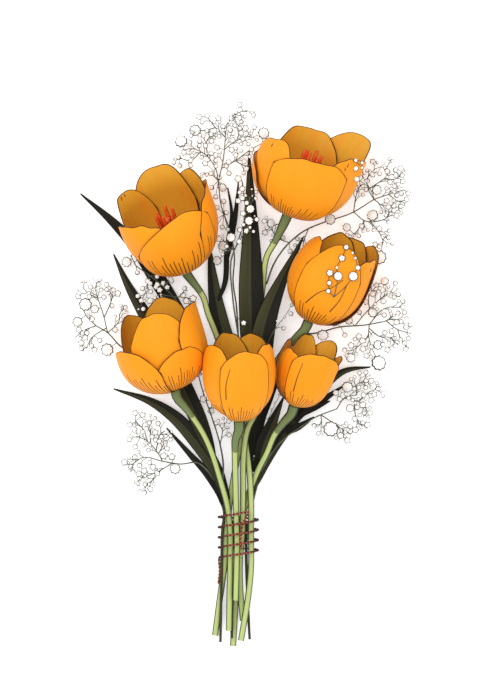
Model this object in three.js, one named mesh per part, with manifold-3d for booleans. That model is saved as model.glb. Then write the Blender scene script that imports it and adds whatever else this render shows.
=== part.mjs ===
// A bunch of six tulips with baby's-breath, tied with a cord and laid on a surface.
//
// Millimetres, +Z up from the surface. The blooms point along +Y and the cut stem ends along -Y.
// The origin is on the surface, under the middle of the bunch's box.

import * as THREE from "three";
import { mergeGeometries, mergeVertices } from "three/addons/utils/BufferGeometryUtils.js";
import Module from "manifold-3d";

const wasm = await Module();
wasm.setup();

// ---- Driving dimensions ---------------------------------------------------------------------

const PETAL_THICKNESS = 0.8;
const PETAL_LAYER_STEP = 2.2; // from one whorl layer to the next one inside it
const PETAL_ACROSS = 5; // facets
const PETAL_ALONG = 5;
const PETAL_ROOT_AT = 0.02; // where petals start on the cup's meridian
const PETAL_SHOULDER = 2.8; // more makes squarer shoulders
const PETAL_LOWER_ROWS = 0.6; // share of a petal's rows below the widest place
const PETAL_LOWER_LIMIT = 0.86; // the lower rows end at this share of a short petal's tip
const CUP_ROUNDNESS = 2.2; // 2 is an ellipse, more is squarer
const RECEPTACLE_RADIUS = 4.2;
const RECEPTACLE_TOP = 8;
const SEAT_GAP = 0.3; // between pieces that touch

const STAMEN_COUNT = 6;
const STAMEN_RADIUS = 1.2;

const STEM_RADIUS = 2.4;
const NECK_STRAIGHT = 8; // the stem runs straight this far under its bloom
const STEM_SIDES = 7;
const STEM_STEPS = 12;

const LEAF_THICKNESS = 0.9;
const LEAF_ACROSS = 2;
const LEAF_ALONG = 9;
const LEAF_FOOT = 0.25; // width at the stem, as a share of the widest place
const LEAF_WIDEST_POWER = 0.8; // under 1 brings the widest place nearer the foot
const LEAF_TIP_HALF_WIDTH = 0.4;
const LEAF_CURL = 1.3; // 1 is a sharp fold, more is a rounder gutter

const TWIG_RADIUS = 0.55;
const SPRAY_STALK_RADIUS = 0.8;
const STALK_STEPS = 6;
const BIG_FLORET = 6; // wider florets have more sides
const BILLOW_LENGTH = 9;

const TIE_SIDES = 6;
const TIE_PER_TURN = 12; // points on each turn
const TIE_STEPS = 46; // along the whole cord

const DEGREE = Math.PI / 180;

// From the middle of the layout to the middle of the bunch's box, and down onto the surface.
const TO_ORIGIN = [-1.35, 2.4, -0.2];

const COLOURS = {
  petal: 0xfda625,
  stamen: 0xe8531c,
  stem: 0xc1d282,
  leaf: 0x3a3a26,
  spray: 0xf2f2ea,
  tie: 0xb05038,
};

// ---- Blooms ---------------------------------------------------------------------------------

// base: where the stem meets the bloom; lean: degrees from +Y towards +X; rise: degrees up from the
// surface; height and radius of the cup; widest: how far up its widest place is, as a share of its
// height; stamens: their length as a share of the height. Azimuth 0 faces up from the surface and
// grows towards +X. close: how far the rim closes (-) or widens (+), as a share of the radius, at the
// azimuth given third, and opposite it.
// Each petal: [azimuth, half span, reach, layer, skew, roundness]. Reach is the tip's height as a
// share of the cup's. Layer 0 is the outermost. Skew lifts one shoulder over the other, and roundness
// is how far the shoulders drop.
const BLOOMS = {
  bloom_1: {
    base: [-43.5, 83, 17.5], lean: -20, rise: 37, height: 65, radius: 37.5, widest: 0.7, stamens: 0.8,
    close: [-0.24, 0.14, 0],
    petals: [
      [2, 53, 0.96, 0, 0.11, 0.26], [-56, 50, 0.94, 1, 0.12, 0.2], [77, 46, 0.98, 0, 0.02, 0.3],
      [-126, 47, 0.99, 3, 0, 0.5], [172, 47, 1.04, 2, 0, 0.5], [126, 36, 0.97, 1, 0, 0.5],
    ],
  },
  bloom_2: {
    base: [35.5, 121.5, 25.3], lean: 23, rise: 17, height: 60, radius: 41, widest: 0.64, stamens: 0.86,
    close: [-0.2, 0.1, -5],
    petals: [
      [6, 43, 0.9, 0, 0.08, 0.16], [-54, 37, 0.92, 1, 0.14, 0.35], [64, 42, 1.04, 1, 0, 0.2],
      [-170, 47, 0.98, 3, 0, 0.4], [132, 48, 1.16, 2, 0, 0.4], [-100, 42, 0.55, 0, 0, 0.25],
    ],
  },
  bloom_3: {
    base: [-49.5, -10, 30], lean: -17, rise: 12, height: 64, radius: 33.9, widest: 0.5, stamens: 0.5,
    close: [-0.28, 0.0, -60],
    petals: [
      [21, 35, 0.52, 0, 0.02, 0.3], [0, 47, 1.0, 1, 0, 0.36], [66, 42, 0.96, 0.2, 0, 0.35],
      [-56, 46, 0.66, -0.5, -0.02, 0.46], [-130, 50, 0.93, 2.4, 0, 0.35], [160, 44, 0.99, 2, 0, 0.4],
    ],
  },
  bloom_4: {
    base: [51, 41, 24.2], lean: 25, rise: 11, height: 65, radius: 31.5, widest: 0.52, stamens: 0.5,
    close: [-0.36, -0.12, -60],
    petals: [
      [4, 44, 1.02, 0, 0, 0.32], [-62, 42, 0.95, 1, 0, 0.35], [70, 48, 0.96, 1, 0, 0.3],
      [-168, 48, 1.04, 3, 0, 0.4], [162, 46, 1.05, 2, 0, 0.4], [124, 42, 1.06, 0, 0, 0.35],
    ],
  },
  bloom_5: {
    base: [-1.5, -33, 38.8], lean: 0, rise: 16, height: 62, radius: 29.1, widest: 0.58, stamens: 0.5,
    close: [-0.24, -0.08, 5],
    petals: [
      [10, 39, 0.96, 0, 0.02, 0.2], [-54, 46, 0.98, 1, 0, 0.35], [62, 44, 0.98, 1, 0, 0.35],
      [-152, 50, 0.99, 3, 0, 0.35], [152, 48, 0.98, 2, 0, 0.35], [180, 40, 0.88, 0, 0, 0.3],
    ],
  },
  bloom_6: {
    base: [40, -22, 24.5], lean: 19, rise: 16, height: 49.5, radius: 23.3, widest: 0.64, stamens: 0.78,
    close: [-0.26, 0.16, -60],
    petals: [
      [18, 50, 0.98, 0, 0.04, 0.2], [-50, 46, 0.86, 1, 0, 0.28], [98, 42, 0.91, 1, 0, 0.35],
      [-150, 46, 1.04, 3, 0, 0.4], [148, 42, 1.03, 2, 0, 0.45], [-118, 24, 0.9, 0, 0, 0.4],
    ],
  },
};

// ---- Stems ----------------------------------------------------------------------------------

const STEMS = {
  stem_1: [
    [-28.5, 59, 10.5], [-25, 47, 11], [-18, 29, 11.5], [-7.5, -4, 11], [1, -37.5, 11.2], [6, -70, 13.5],
    [7.5, -94, 16], [7.5, -118, 16.8], [7.5, -145, 16], [5, -169, 15], [0, -199.5, 14],
  ],
  stem_2: [
    [26, 101, 20], [19, 88, 20], [16, 64, 13.5], [12, 34, 7], [7.5, -4, 3.4], [1.5, -41, 3.4],
    [-6, -80, 8.5], [-11, -118, 11.6], [-12, -139, 10.9], [-16.5, -172.5, 4.8], [-19.5, -196, 2.6],
  ],
  stem_3: [
    [-43, -22.5, 28], [-36.5, -31, 28], [-28.5, -43.5, 27], [-22, -58, 24.5], [-16, -77, 20.5],
    [-10, -99, 17], [-8, -118, 16], [-8, -139, 15], [-8.5, -165, 13], [-9, -192, 10.5],
  ],
  stem_4: [
    [43.5, 30, 20.5], [36.5, 23, 13.5], [30, 15, 10.5], [24, 6, 9.8], [18, -10, 10.8], [12, -27, 15.2],
    [5, -41, 17.3], [2, -60, 18.2], [1.5, -90, 16], [1, -118, 14.5], [-1, -142.5, 14], [-0.5, -162, 11],
    [1.5, -184.5, 7.2],
  ],
  stem_5: [
    [-4, -48, 33], [-4.5, -60, 31], [-4, -86, 24.5], [-3.5, -109, 20.8], [-3, -127.5, 20],
    [-3.5, -150, 19], [-4, -169, 18],
  ],
  stem_6: [
    [31.5, -36, 23.5], [25, -45, 22.5], [19.5, -58, 20.5], [13, -71, 12.5], [7, -86, 7.8],
    [1.5, -105, 8.2], [-1.5, -120, 8], [-3, -146, 7.5], [-4, -169, 5], [-6, -204, 2.6],
  ],
};

// ---- Leaves ---------------------------------------------------------------------------------

// Each leaf's midrib runs from where it sits on a stem to its tip. Width is across both halves at
// the widest place, and fold is how far the edges stand up, as a share of the half width.
const LEAVES = {
  leaf_1: {
    width: 13,
    fold: 0.3,
    route: [
      [-7, -10, 5.5], [-46, 45, 3.4], [-61, 69, 3.4], [-77, 94, 3.2], [-97, 115.5, 2.4],
      [-121, 136.5, 1],
    ],
  },
  leaf_2: {
    width: 14,
    fold: 0.3,
    route: [
      [-21, -61, 20.2], [-27, -46.5, 15], [-34.5, -28, 10], [-57, 19, 2.4], [-72, 45, 3],
      [-85, 67.5, 3.6], [-96, 91, 2],
    ],
  },
  leaf_3: {
    width: 15,
    fold: 0.3,
    route: [
      [1, -34, 7.1], [-2, -10, 6.8], [-8, 13, 6], [-14, 33, 5], [-19, 56, 5], [-22, 79, 4.4],
      [-24, 100, 3],
    ],
  },
  leaf_4: {
    width: 20,
    fold: 0.32,
    route: [
      [8, -7.5, 6.5], [8, 19, 10], [8, 45, 13.2], [7.5, 71, 17.5], [7.5, 97.5, 18.5], [7, 131, 14],
      [6, 168, 6],
    ],
  },
  leaf_5: {
    width: 19,
    fold: 0.32,
    route: [[15, -17, 16.3], [16, 0, 15.4], [15, 19, 17], [20, 45, 19.5], [30, 70, 17], [47, 104, 10]],
  },
  leaf_6: {
    width: 12,
    fold: 0.3,
    route: [
      [-10, -94, 14], [-19, -71, 13.5], [-33, -50, 11], [-49.5, -32, 8], [-68, -20, 5], [-96, -10.5, 2],
    ],
  },
  leaf_7: {
    width: 6,
    fold: 0.3,
    route: [[-12.5, -100, 9], [-16.5, -88, 8.5], [-26, -73.5, 7.5], [-40, -58, 5.5], [-56, -40, 3]],
  },
  leaf_8: {
    width: 8,
    fold: 0.3,
    route: [[11, -83, 5.8], [19, -65, 5.5], [30, -46.5, 6], [61, -10, 5], [78, 3, 4.5], [97.5, 6, 3]],
  },
  leaf_9: {
    width: 10,
    fold: 0.3,
    route: [[9, -73, 8.8], [10, -49, 7.8], [14, -32, 8.5], [22, -15, 7], [32, 7, 5]],
  },
  leaf_10: {
    width: 11,
    fold: 0.3,
    route: [[13, -68, 10.2], [16.5, -53, 14.3], [23, -37, 14.5], [32, -16.5, 13.5]],
  },
};

// ---- Baby's-breath --------------------------------------------------------------------------

// Each spray has a stalk that runs from where it sits among the stems into the spray, branches that
// spread from it, and florets [x, y, width]. Level is the spray's mean height above the surface and
// billow how far it rises and falls; a floret hangs on the nearest point of a branch or the stalk.
const SPRAYS = {
  spray_1: {
    level: 11, billow: 6,
    stalk: [
      [-3.5, -7.5, 13], [-2, 19, 13.5], [-3.5, 52, 12], [-6, 70, 11], [-5, 90, 10.5], [-9, 110, 10],
      [-15, 127.5, 9.5], [-17, 146, 9],
    ],
    branches: [
      [-17, 146, -19, 155, -26, 165, -36, 170, -43, 169], [-26, 165, -26, 175, -22.5, 181],
      [-17, 145, -22.5, 151, -28.5, 152], [-17, 146, -13.5, 161, -12, 176, -11, 188],
      [-12, 178.5, -20, 187, -26, 195], [-11, 188, -4.5, 196, 5, 199], [-13, 167, -5, 175, 8, 180],
      [-16, 154, -4, 161, 7, 169, 16, 174], [-31, 169, -38, 161, -46, 163],
      [-20, 187, -28, 184, -34.5, 184], [-2, 175.5, -1, 185, -7, 193], [-4, 161, 4, 157, 11, 159],
    ],
    florets: [
      [-45, 175.5, 10], [-34.5, 184, 9], [17, 181.5, 9], [-14, 141, 7], [-43, 167, 5],
      [-25.5, 195, 4.5], [-22.5, 181, 4.5], [-1, 185, 4.5], [10, 186, 4.5], [11, 159, 4.5],
      [-38, 161, 4.5], [-13.5, 97, 8], [-18, 86, 7],
    ],
  },
  spray_2: {
    level: 25, billow: 1.5,
    stalk: [
      [-2.5, -7, 14.6], [-1, 19, 17.5], [-6, 56, 18.5], [-7.5, 85, 23], [-2, 101, 24.5], [3, 120, 25],
      [1, 145, 23],
    ],
    branches: [[-1, 105, 4, 109.5, 7, 115.5], [2, 119, 7, 125, 6, 133], [-7, 85, -8, 94, -11, 101]],
    florets: [
      [-2, 147, 6], [1, 139.5, 5], [-2, 130.5, 5], [7, 124.5, 7], [1.5, 121, 5], [6, 115.5, 7],
      [4, 108, 5], [-7.5, 103, 7.5], [-1.5, 100, 4.5], [2, 39, 4.5],
    ],
  },
  spray_3: {
    level: 9, billow: 4,
    stalk: [[-58, 4.5, 4.6], [-78, 13.5, 5.5], [-91, 22, 7], [-100, 31.5, 9], [-109, 37, 9]],
    branches: [
      [-101, 33, -104, 47, -108, 58.5, -109.5, 65], [-102, 43, -97.5, 56, -96, 64.5],
      [-109, 37, -117, 34, -125, 28], [-109, 37, -116, 44, -119, 50], [-98, 29, -92, 40, -91.5, 46],
      [-104, 34, -112, 28, -116, 20], [-108, 56, -115, 61.5, -119, 66],
    ],
    florets: [
      [-117, 53, 10], [-123, 40, 8], [-100.5, 19, 10], [-110, 49.5, 6.5], [-101, 68, 4.5],
      [-107, 68, 4.5], [-96, 64, 4.5],
    ],
  },
  spray_4: {
    level: 7.4, billow: 3,
    stalk: [[-20, -79, 10.5], [-26, -71, 10.4], [-33, -66, 10], [-46, -67, 9], [-59, -65, 8]],
    branches: [
      [-58, -65, -63, -58, -71, -49.5, -79, -46], [-71, -49.5, -73.5, -41, -79.5, -35],
      [-62, -58.5, -57, -50], [-64.5, -55.5, -61, -45, -57, -42], [-61, -64.5, -73, -62, -83, -68],
      [-53, -66, -64, -73.5, -77, -78], [-61, -73, -67, -79.5, -72, -82.5],
      [-68, -53, -68, -43, -69, -37],
    ],
    florets: [
      [-49.5, -70.5, 8.5], [-52, -61.5, 6], [-58, -61, 6], [-69, -66, 4.5], [-79.5, -28.5, 5],
      [-57, -51, 4.5], [-67, -46.5, 4.5], [-79.5, -54, 4.5], [-83, -69, 4.5], [-76.5, -78, 4.5],
      [-72, -82.5, 4.5],
    ],
  },
  spray_5: {
    level: 9, billow: 4,
    stalk: [
      [19, 68, 12], [25, 84, 11], [34, 97, 10], [47, 108, 9], [63, 115, 8.5], [82.5, 121.5, 9],
      [100, 132, 10],
    ],
    branches: [
      [100, 131, 106.5, 127.5, 115, 127.5], [88, 126, 87, 136.5, 90, 143],
      [94, 131, 96, 139, 95, 148, 101, 155], [97.5, 140, 104, 145, 110, 150, 109.5, 157],
      [109, 147, 115, 147, 121, 150], [101, 134, 112, 136, 122, 139],
      [112.5, 135, 118.5, 130.5, 124.5, 132], [83, 121.5, 94.5, 115.5, 109.5, 118, 112, 123],
      [98, 115.5, 104, 107, 107, 100], [92, 115.5, 87, 108, 84, 103.5],
      [31.5, 94.5, 26, 104, 22.5, 113], [47, 108, 47, 100, 46.5, 91.5],
    ],
    florets: [
      [102, 139, 8], [99, 120, 9], [79.5, 111, 6.5], [67, 117, 8.5], [104, 88.5, 11], [121, 150, 4.5],
      [124.5, 132, 4.5], [115, 127, 4.5], [107, 104, 4.5], [22.5, 114, 7], [18, 107, 5],
      [31.5, 103, 4.5],
    ],
  },
  spray_6: {
    level: 10, billow: 5,
    stalk: [[44, 33, 15.8], [51, 31, 15.2], [59, 32, 14], [74, 36, 11], [93, 37.5, 10], [107, 40, 10]],
    branches: [
      [107, 40, 114, 42, 121, 40.5], [84, 37.5, 94, 47, 107, 59, 113, 63], [95, 50, 96, 58, 102, 67.5],
      [97, 40, 107, 49.5, 121.5, 51], [94, 37, 96, 29, 98, 21], [98, 35, 104, 29, 112, 28, 118, 22.5],
      [109.5, 39, 117, 34.5, 128, 31], [117, 34, 120, 27, 123, 24], [96, 29, 91, 24, 85, 19],
      [107, 43, 118, 46.5],
    ],
    florets: [
      [61.5, 30, 9], [70, 40, 7.5], [81, 41, 6.5], [99, 47, 8], [108, 70.5, 6.5], [103, 22.5, 7.5],
      [103.5, 9, 12], [82.5, 13, 7.5], [88.5, 29, 5], [102, 67.5, 4.5], [121.5, 51, 4.5],
      [123, 24, 4.5], [98, 21, 4.5],
    ],
  },
  spray_7: {
    level: 10, billow: 3,
    stalk: [
      [15, -72.5, 7.6], [23, -58.5, 9.6], [34, -46.5, 10.5], [45, -39, 10], [55.5, -32, 9.5],
      [72, -25.5, 9.5],
    ],
    branches: [
      [69, -25.5, 78, -17, 87, -15], [85.5, -15, 87, -7.5, 94, -4.5], [79.5, -19, 90, -21, 96, -28.5],
      [85.5, -21, 87, -34, 91.5, -39], [63, -29, 70.5, -37, 78, -43, 75, -48],
      [90, -20, 96, -13, 103, -10.5], [58.5, -31.5, 61, -40],
    ],
    florets: [
      [80, -9, 9], [67.5, -40.5, 12], [91.5, -22.5, 6], [82, -25, 6.5], [98, -4.5, 5],
      [103, -10.5, 4.5], [97, -28.5, 4.5], [78, -43, 4.5],
    ],
  },
  spray_8: {
    level: 8.5, billow: 1.5,
    stalk: [[-31, 28, 6.7], [-41, 46, 6.9], [-52, 60, 8], [-65, 72, 8.5], [-79, 82, 8.5]],
    branches: [
      [-65, 72, -71, 64, -75, 56], [-50, 58.5, -43, 58.5, -37, 57], [-76, 80, -83, 90],
      [-55, 63, -61, 61],
    ],
    florets: [
      [-86, 85, 8], [-70, 70.5, 5], [-63, 68, 5], [-55.5, 66, 4.5], [-53, 72, 4.5], [-43.5, 60, 5],
      [-36, 57.5, 6], [-75, 56, 4.5],
    ],
  },
  spray_9: {
    level: 14, billow: 1,
    stalk: [
      [-13.5, -80, 16.8], [-13.5, -65, 16.5], [-16.5, -49, 16.5], [-22.5, -30, 15.5], [-28.5, -13, 12],
      [-32, 0, 10],
    ],
    branches: [[-16.5, -49, -14, -43, -14, -38], [-24, -28, -21, -22]],
    florets: [[-32, 1.5, 6], [-28.5, -18, 6], [-22.5, -27, 6], [-14, -38, 4.5]],
  },
};

// ---- Tie ------------------------------------------------------------------------------------

// The cord's lead runs slantwise down the front, then the cord winds round the stems and its tail
// hangs at the side.
const TIE = {
  radius: 0.95,
  centre: [-2, -118, 14.2],
  halfWidth: 14.8,
  halfDepth: 11.4,
  turns: 4,
  pitch: 7.6,
  slant: 0.9, // each turn stands this much higher at the right than at its middle
  start: [4.5, -102],
  lead: [[0.5, -130.5, 26.6], [-0.5, -124, 28.2], [0.5, -115.5, 28.2], [2.5, -109, 27.4]],
  tail: [[-16.5, -137.5, 15], [-16, -147, 13.5], [-17, -157, 11]],
};

// ---- Solids ---------------------------------------------------------------------------------

function solidOf(geometry) {
  const plain = geometry.index ? geometry.toNonIndexed() : geometry.clone();
  plain.deleteAttribute("normal");
  plain.deleteAttribute("uv");
  const merged = mergeVertices(plain, 1e-4);
  return new wasm.Manifold(new wasm.Mesh({
    numProp: 3,
    vertProperties: Float32Array.from(merged.attributes.position.array),
    triVerts: Uint32Array.from(merged.index.array),
  }));
}

function geometryOf(solid) {
  const mesh = solid.getMesh();
  const geometry = new THREE.BufferGeometry();
  geometry.setAttribute("position", new THREE.BufferAttribute(mesh.vertProperties, 3));
  geometry.setIndex(new THREE.BufferAttribute(mesh.triVerts, 1));
  geometry.computeVertexNormals();
  return geometry;
}

// One solid of all the geometries. A pocket closed in between them is filled.
function fuse(geometries) {
  const whole = geometries.map(solidOf).reduce((sum, piece) => sum.add(piece));
  const shells = whole.decompose();
  const bodies = shells.filter((shell) => shell.volume() > 0);
  if (bodies.length !== 1) throw new Error(`${bodies.length} bodies where one is meant`);
  return geometryOf(bodies[0]);
}

// A thin blade: surface(u, v), with u from -1 to 1 across and v from 0 to 1 along, given its
// thickness along its own normals. Both faces are split into triangles alike.
function bladeGeometry(surface, across, along, thickness) {
  const step = 1e-3;
  const positions = [];
  for (const side of [0.5, -0.5]) {
    for (let j = 0; j <= along; j += 1) {
      for (let i = 0; i <= across; i += 1) {
        const u = -1 + (2 * i) / across;
        const v = j / along;
        const overU = surface(u + step, v).sub(surface(u - step, v));
        const overV = surface(u, v + step).sub(surface(u, v - step));
        const normal = overU.cross(overV).normalize();
        positions.push(...surface(u, v).addScaledVector(normal, side * thickness));
      }
    }
  }
  const row = across + 1;
  const back = row * (along + 1);
  const index = [];
  for (let j = 0; j < along; j += 1) {
    for (let i = 0; i < across; i += 1) {
      const a = j * row + i;
      index.push(a, a + 1, a + row + 1, a, a + row + 1, a + row);
      index.push(back + a, back + a + row + 1, back + a + 1);
      index.push(back + a, back + a + row, back + a + row + 1);
    }
  }
  const rim = [];
  for (let i = 0; i < across; i += 1) rim.push(i);
  for (let j = 0; j < along; j += 1) rim.push(j * row + across);
  for (let i = across; i > 0; i -= 1) rim.push(along * row + i);
  for (let j = along; j > 0; j -= 1) rim.push(j * row);
  rim.forEach((a, k) => {
    const b = rim[(k + 1) % rim.length];
    index.push(a, back + b, b, a, back + a, back + b);
  });
  const geometry = new THREE.BufferGeometry();
  geometry.setAttribute("position", new THREE.Float32BufferAttribute(positions, 3));
  geometry.setIndex(index);
  return geometry;
}

// A smooth line through the points.
function routeOf(points) {
  return new THREE.CatmullRomCurve3(points.map((p) => new THREE.Vector3(...p)), false, "centripetal");
}

function tubeGeometry(points, radius, sides, steps) {
  const section = new THREE.Shape();
  for (let i = 0; i < sides; i += 1) {
    const turn = (2 * Math.PI * i) / sides;
    if (i === 0) section.moveTo(radius * Math.cos(turn), radius * Math.sin(turn));
    else section.lineTo(radius * Math.cos(turn), radius * Math.sin(turn));
  }
  section.closePath();
  return new THREE.ExtrudeGeometry(section, { steps, bevelEnabled: false, extrudePath: routeOf(points) });
}

// ---- Blooms ---------------------------------------------------------------------------------

// The bloom's own frame: x across, y down to the surface, z along the cup, from the base.
function bloomFrame(bloom) {
  const lean = bloom.lean * DEGREE;
  const rise = bloom.rise * DEGREE;
  const along = new THREE.Vector3(
    Math.sin(lean) * Math.cos(rise), Math.cos(lean) * Math.cos(rise), Math.sin(rise));
  const across = new THREE.Vector3(Math.cos(lean), -Math.sin(lean), 0);
  const down = new THREE.Vector3().crossVectors(along, across);
  const frame = new THREE.Matrix4().makeBasis(across, down, along);
  return frame.setPosition(new THREE.Vector3(...bloom.base));
}

// The cup's meridian: radius and height for v from 0, at the base, to 1, at the rim. Its widest
// place is this share of its height up.
function cupMeridian(v, radius, height, widest, rimLean) {
  if (v < 0.5) {
    const turn = Math.max(v, 0) * Math.PI;
    const power = 2 / CUP_ROUNDNESS;
    return [
      radius * Math.sin(turn) ** power,
      height * widest * (1 - Math.cos(turn) ** power),
    ];
  }
  const past = (v - 0.5) * 2;
  return [
    radius * (1 + rimLean * past * past),
    height * (widest + (1 - widest) * past),
  ];
}

// The meridian's v where it reaches this share of the cup's height.
function meridianReach(share, widest) {
  if (share < widest) {
    return Math.acos((1 - share / widest) ** (CUP_ROUNDNESS / 2)) / Math.PI;
  }
  return 0.5 + (0.5 * (share - widest)) / (1 - widest);
}

// How far the rim leans outwards at this azimuth, as a share of the cup's radius.
function rimLeanAt([most, opposite, centre], azimuth) {
  const share = (0.5 + 0.5 * Math.cos(azimuth - centre * DEGREE)) ** 1.5;
  return opposite + (most - opposite) * share;
}

function petalSurface(bloom, [azimuth, halfSpan, reach, layer, skew, roundness]) {
  const inset = layer * PETAL_LAYER_STEP;
  return (u, v) => {
    const edge = Math.abs(u);
    const share = reach * (1 - roundness * edge ** PETAL_SHOULDER + skew * u);
    const tip = meridianReach(share, bloom.widest);
    const waist = Math.min(0.5, tip * PETAL_LOWER_LIMIT);
    const along = v < PETAL_LOWER_ROWS
      ? PETAL_ROOT_AT + ((waist - PETAL_ROOT_AT) * v) / PETAL_LOWER_ROWS
      : waist + ((tip - waist) * (v - PETAL_LOWER_ROWS)) / (1 - PETAL_LOWER_ROWS);
    const turn = (azimuth + u * halfSpan) * DEGREE;
    const lean = rimLeanAt(bloom.close, turn);
    const [radius, rise] = cupMeridian(
      along, bloom.radius - inset, bloom.height - inset, bloom.widest, lean);
    return new THREE.Vector3(radius * Math.sin(turn), -radius * Math.cos(turn), rise + inset);
  };
}

function receptacleGeometry() {
  const profile = [
    new THREE.Vector2(0, -1),
    new THREE.Vector2(RECEPTACLE_RADIUS * 0.8, -1),
    new THREE.Vector2(RECEPTACLE_RADIUS, 1),
    new THREE.Vector2(RECEPTACLE_RADIUS, RECEPTACLE_TOP - 1.5),
    new THREE.Vector2(0, RECEPTACLE_TOP),
  ];
  return new THREE.LatheGeometry(profile, 8).rotateX(Math.PI / 2);
}

function bloomGeometry(bloom) {
  const petals = bloom.petals.map(
    (petal) => bladeGeometry(petalSurface(bloom, petal), PETAL_ACROSS, PETAL_ALONG, PETAL_THICKNESS));
  return fuse([receptacleGeometry(), ...petals]).applyMatrix4(bloomFrame(bloom));
}

// Six stamens round a pistil, on one small seat that rests on the receptacle.
function stamensGeometry(bloom) {
  const floor = RECEPTACLE_TOP + SEAT_GAP;
  const top = bloom.height * bloom.stamens;
  const pistil = [[0, floor], [3, floor], [2.4, top * 0.6], [3, top * 0.8], [0, top * 0.84]];
  const profile = pistil.map((p) => new THREE.Vector2(...p));
  const parts = [new THREE.LatheGeometry(profile, 4).rotateX(Math.PI / 2)];
  for (let i = 0; i < STAMEN_COUNT; i += 1) {
    const turn = ((i + 0.3) * 2 * Math.PI) / STAMEN_COUNT;
    const foot = [2 * Math.sin(turn), 2 * Math.cos(turn), floor + 1];
    const head = [7 * Math.sin(turn), 7 * Math.cos(turn), top - (i % 3)];
    parts.push(tubeGeometry([foot, head], STAMEN_RADIUS, 3, 1));
  }
  return fuse(parts).applyMatrix4(bloomFrame(bloom));
}

// ---- Stems ----------------------------------------------------------------------------------

// The stem starts just under its bloom's receptacle and follows its route to the cut end.
function stemGeometry(bloom, route) {
  const frame = bloomFrame(bloom);
  const top = new THREE.Vector3(0, 0, -1 - SEAT_GAP).applyMatrix4(frame);
  const neck = new THREE.Vector3(0, 0, -NECK_STRAIGHT).applyMatrix4(frame);
  return tubeGeometry([top.toArray(), neck.toArray(), ...route], STEM_RADIUS, STEM_SIDES, STEM_STEPS);
}

// ---- Leaves ---------------------------------------------------------------------------------

function leafSurface({ route, width, fold }) {
  const path = routeOf(route);
  return (u, v) => {
    const along = Math.min(Math.max(v, 0), 1);
    const middle = path.getPoint(along);
    const heading = path.getTangent(along);
    const side = new THREE.Vector3(heading.y, -heading.x, 0).normalize();
    const swell = Math.sin(Math.PI * along ** LEAF_WIDEST_POWER) * (1 - LEAF_FOOT) + LEAF_FOOT * (1 - along);
    const reach = LEAF_TIP_HALF_WIDTH + (width / 2) * swell;
    const rise = fold * reach * Math.abs(u) ** LEAF_CURL;
    return middle.addScaledVector(side, u * reach).add(new THREE.Vector3(0, 0, rise));
  };
}

function leafGeometry(leaf) {
  return bladeGeometry(leafSurface(leaf), LEAF_ACROSS, LEAF_ALONG, LEAF_THICKNESS);
}

// ---- Baby's-breath --------------------------------------------------------------------------

// The height of a spray over the surface at a place: a fixed, smooth rise and fall.
function billowAt(spray, x, y) {
  const wave = Math.sin(x / BILLOW_LENGTH + 1) + Math.cos(y / BILLOW_LENGTH - x / (3 * BILLOW_LENGTH));
  return spray.level + (spray.billow * wave) / 2;
}

// A floret and its twig in one turned solid, from its joint on a branch.
function floretGeometry(joint, centre, width) {
  const radius = width / 2;
  const away = centre.clone().sub(joint);
  if (away.length() < radius) away.set(0, 0, radius);
  const profile = [[0, 0], [TWIG_RADIUS, 0.1], [radius, away.length()], [0, away.length() + radius * 0.5]];
  if (width > BIG_FLORET) profile.splice(2, 0, [TWIG_RADIUS, Math.max(away.length() - radius * 0.7, 0.2)]);
  const sides = width > BIG_FLORET ? 6 : 3;
  const floret = new THREE.LatheGeometry(profile.map((p) => new THREE.Vector2(...p)), sides);
  const turn = new THREE.Quaternion().setFromUnitVectors(new THREE.Vector3(0, 1, 0), away.normalize());
  return floret.applyQuaternion(turn).translate(joint.x, joint.y, joint.z);
}

// A spray's branches and florets, with a twig from each floret to the nearest branch.
function sprayGeometry(spray) {
  const parts = [tubeGeometry(spray.stalk, SPRAY_STALK_RADIUS, 3, STALK_STEPS)];
  const joints = routeOf(spray.stalk).getSpacedPoints(STALK_STEPS).slice(STALK_STEPS / 3);
  for (const flat of spray.branches) {
    const points = [];
    for (let i = 0; i < flat.length; i += 2) {
      points.push(new THREE.Vector3(flat[i], flat[i + 1], billowAt(spray, flat[i], flat[i + 1])));
    }
    points[0] = nearestOf(joints, points[0]).clone();
    const steps = points.length - 1;
    joints.push(...withThirds(routeOf(points).getSpacedPoints(steps)));
    parts.push(tubeGeometry(points, TWIG_RADIUS, 3, steps));
  }
  for (const [x, y, width] of spray.florets) {
    const centre = new THREE.Vector3(x, y, billowAt(spray, x, y));
    parts.push(floretGeometry(nearestOf(joints, centre), centre, width));
  }
  return fuse(parts);
}

// The points, with two more between each one and the next.
function withThirds(points) {
  return points.flatMap((p, i) => (i === 0
    ? [p]
    : [1 / 3, 2 / 3, 1].map((share) => points[i - 1].clone().lerp(p, share))));
}

function nearestOf(points, place) {
  return points.reduce((best, p) => (p.distanceTo(place) < best.distanceTo(place) ? p : best));
}

// ---- Tie ------------------------------------------------------------------------------------

function tieGeometry() {
  const [centreX, , centreZ] = TIE.centre;
  const startY = TIE.start[1];
  const route = [...TIE.lead];
  for (let i = 2; i <= TIE.turns * TIE_PER_TURN + 5; i += 1) {
    const turn = (2 * Math.PI * i) / TIE_PER_TURN;
    route.push([
      centreX + TIE.halfWidth * Math.cos(turn),
      startY - (TIE.pitch * i) / TIE_PER_TURN + TIE.slant * Math.cos(turn),
      centreZ + TIE.halfDepth * Math.sin(turn),
    ]);
  }
  return tubeGeometry([...route, ...TIE.tail], TIE.radius, TIE_SIDES, TIE_STEPS);
}

// ---- The bunch ------------------------------------------------------------------------------

const bunch = new THREE.Group();

function addPiece(name, geometry, colour, roughness) {
  const material = new THREE.MeshStandardMaterial({ color: colour, roughness, metalness: 0 });
  const piece = new THREE.Mesh(geometry.translate(...TO_ORIGIN), material);
  piece.name = name;
  bunch.add(piece);
}

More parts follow.
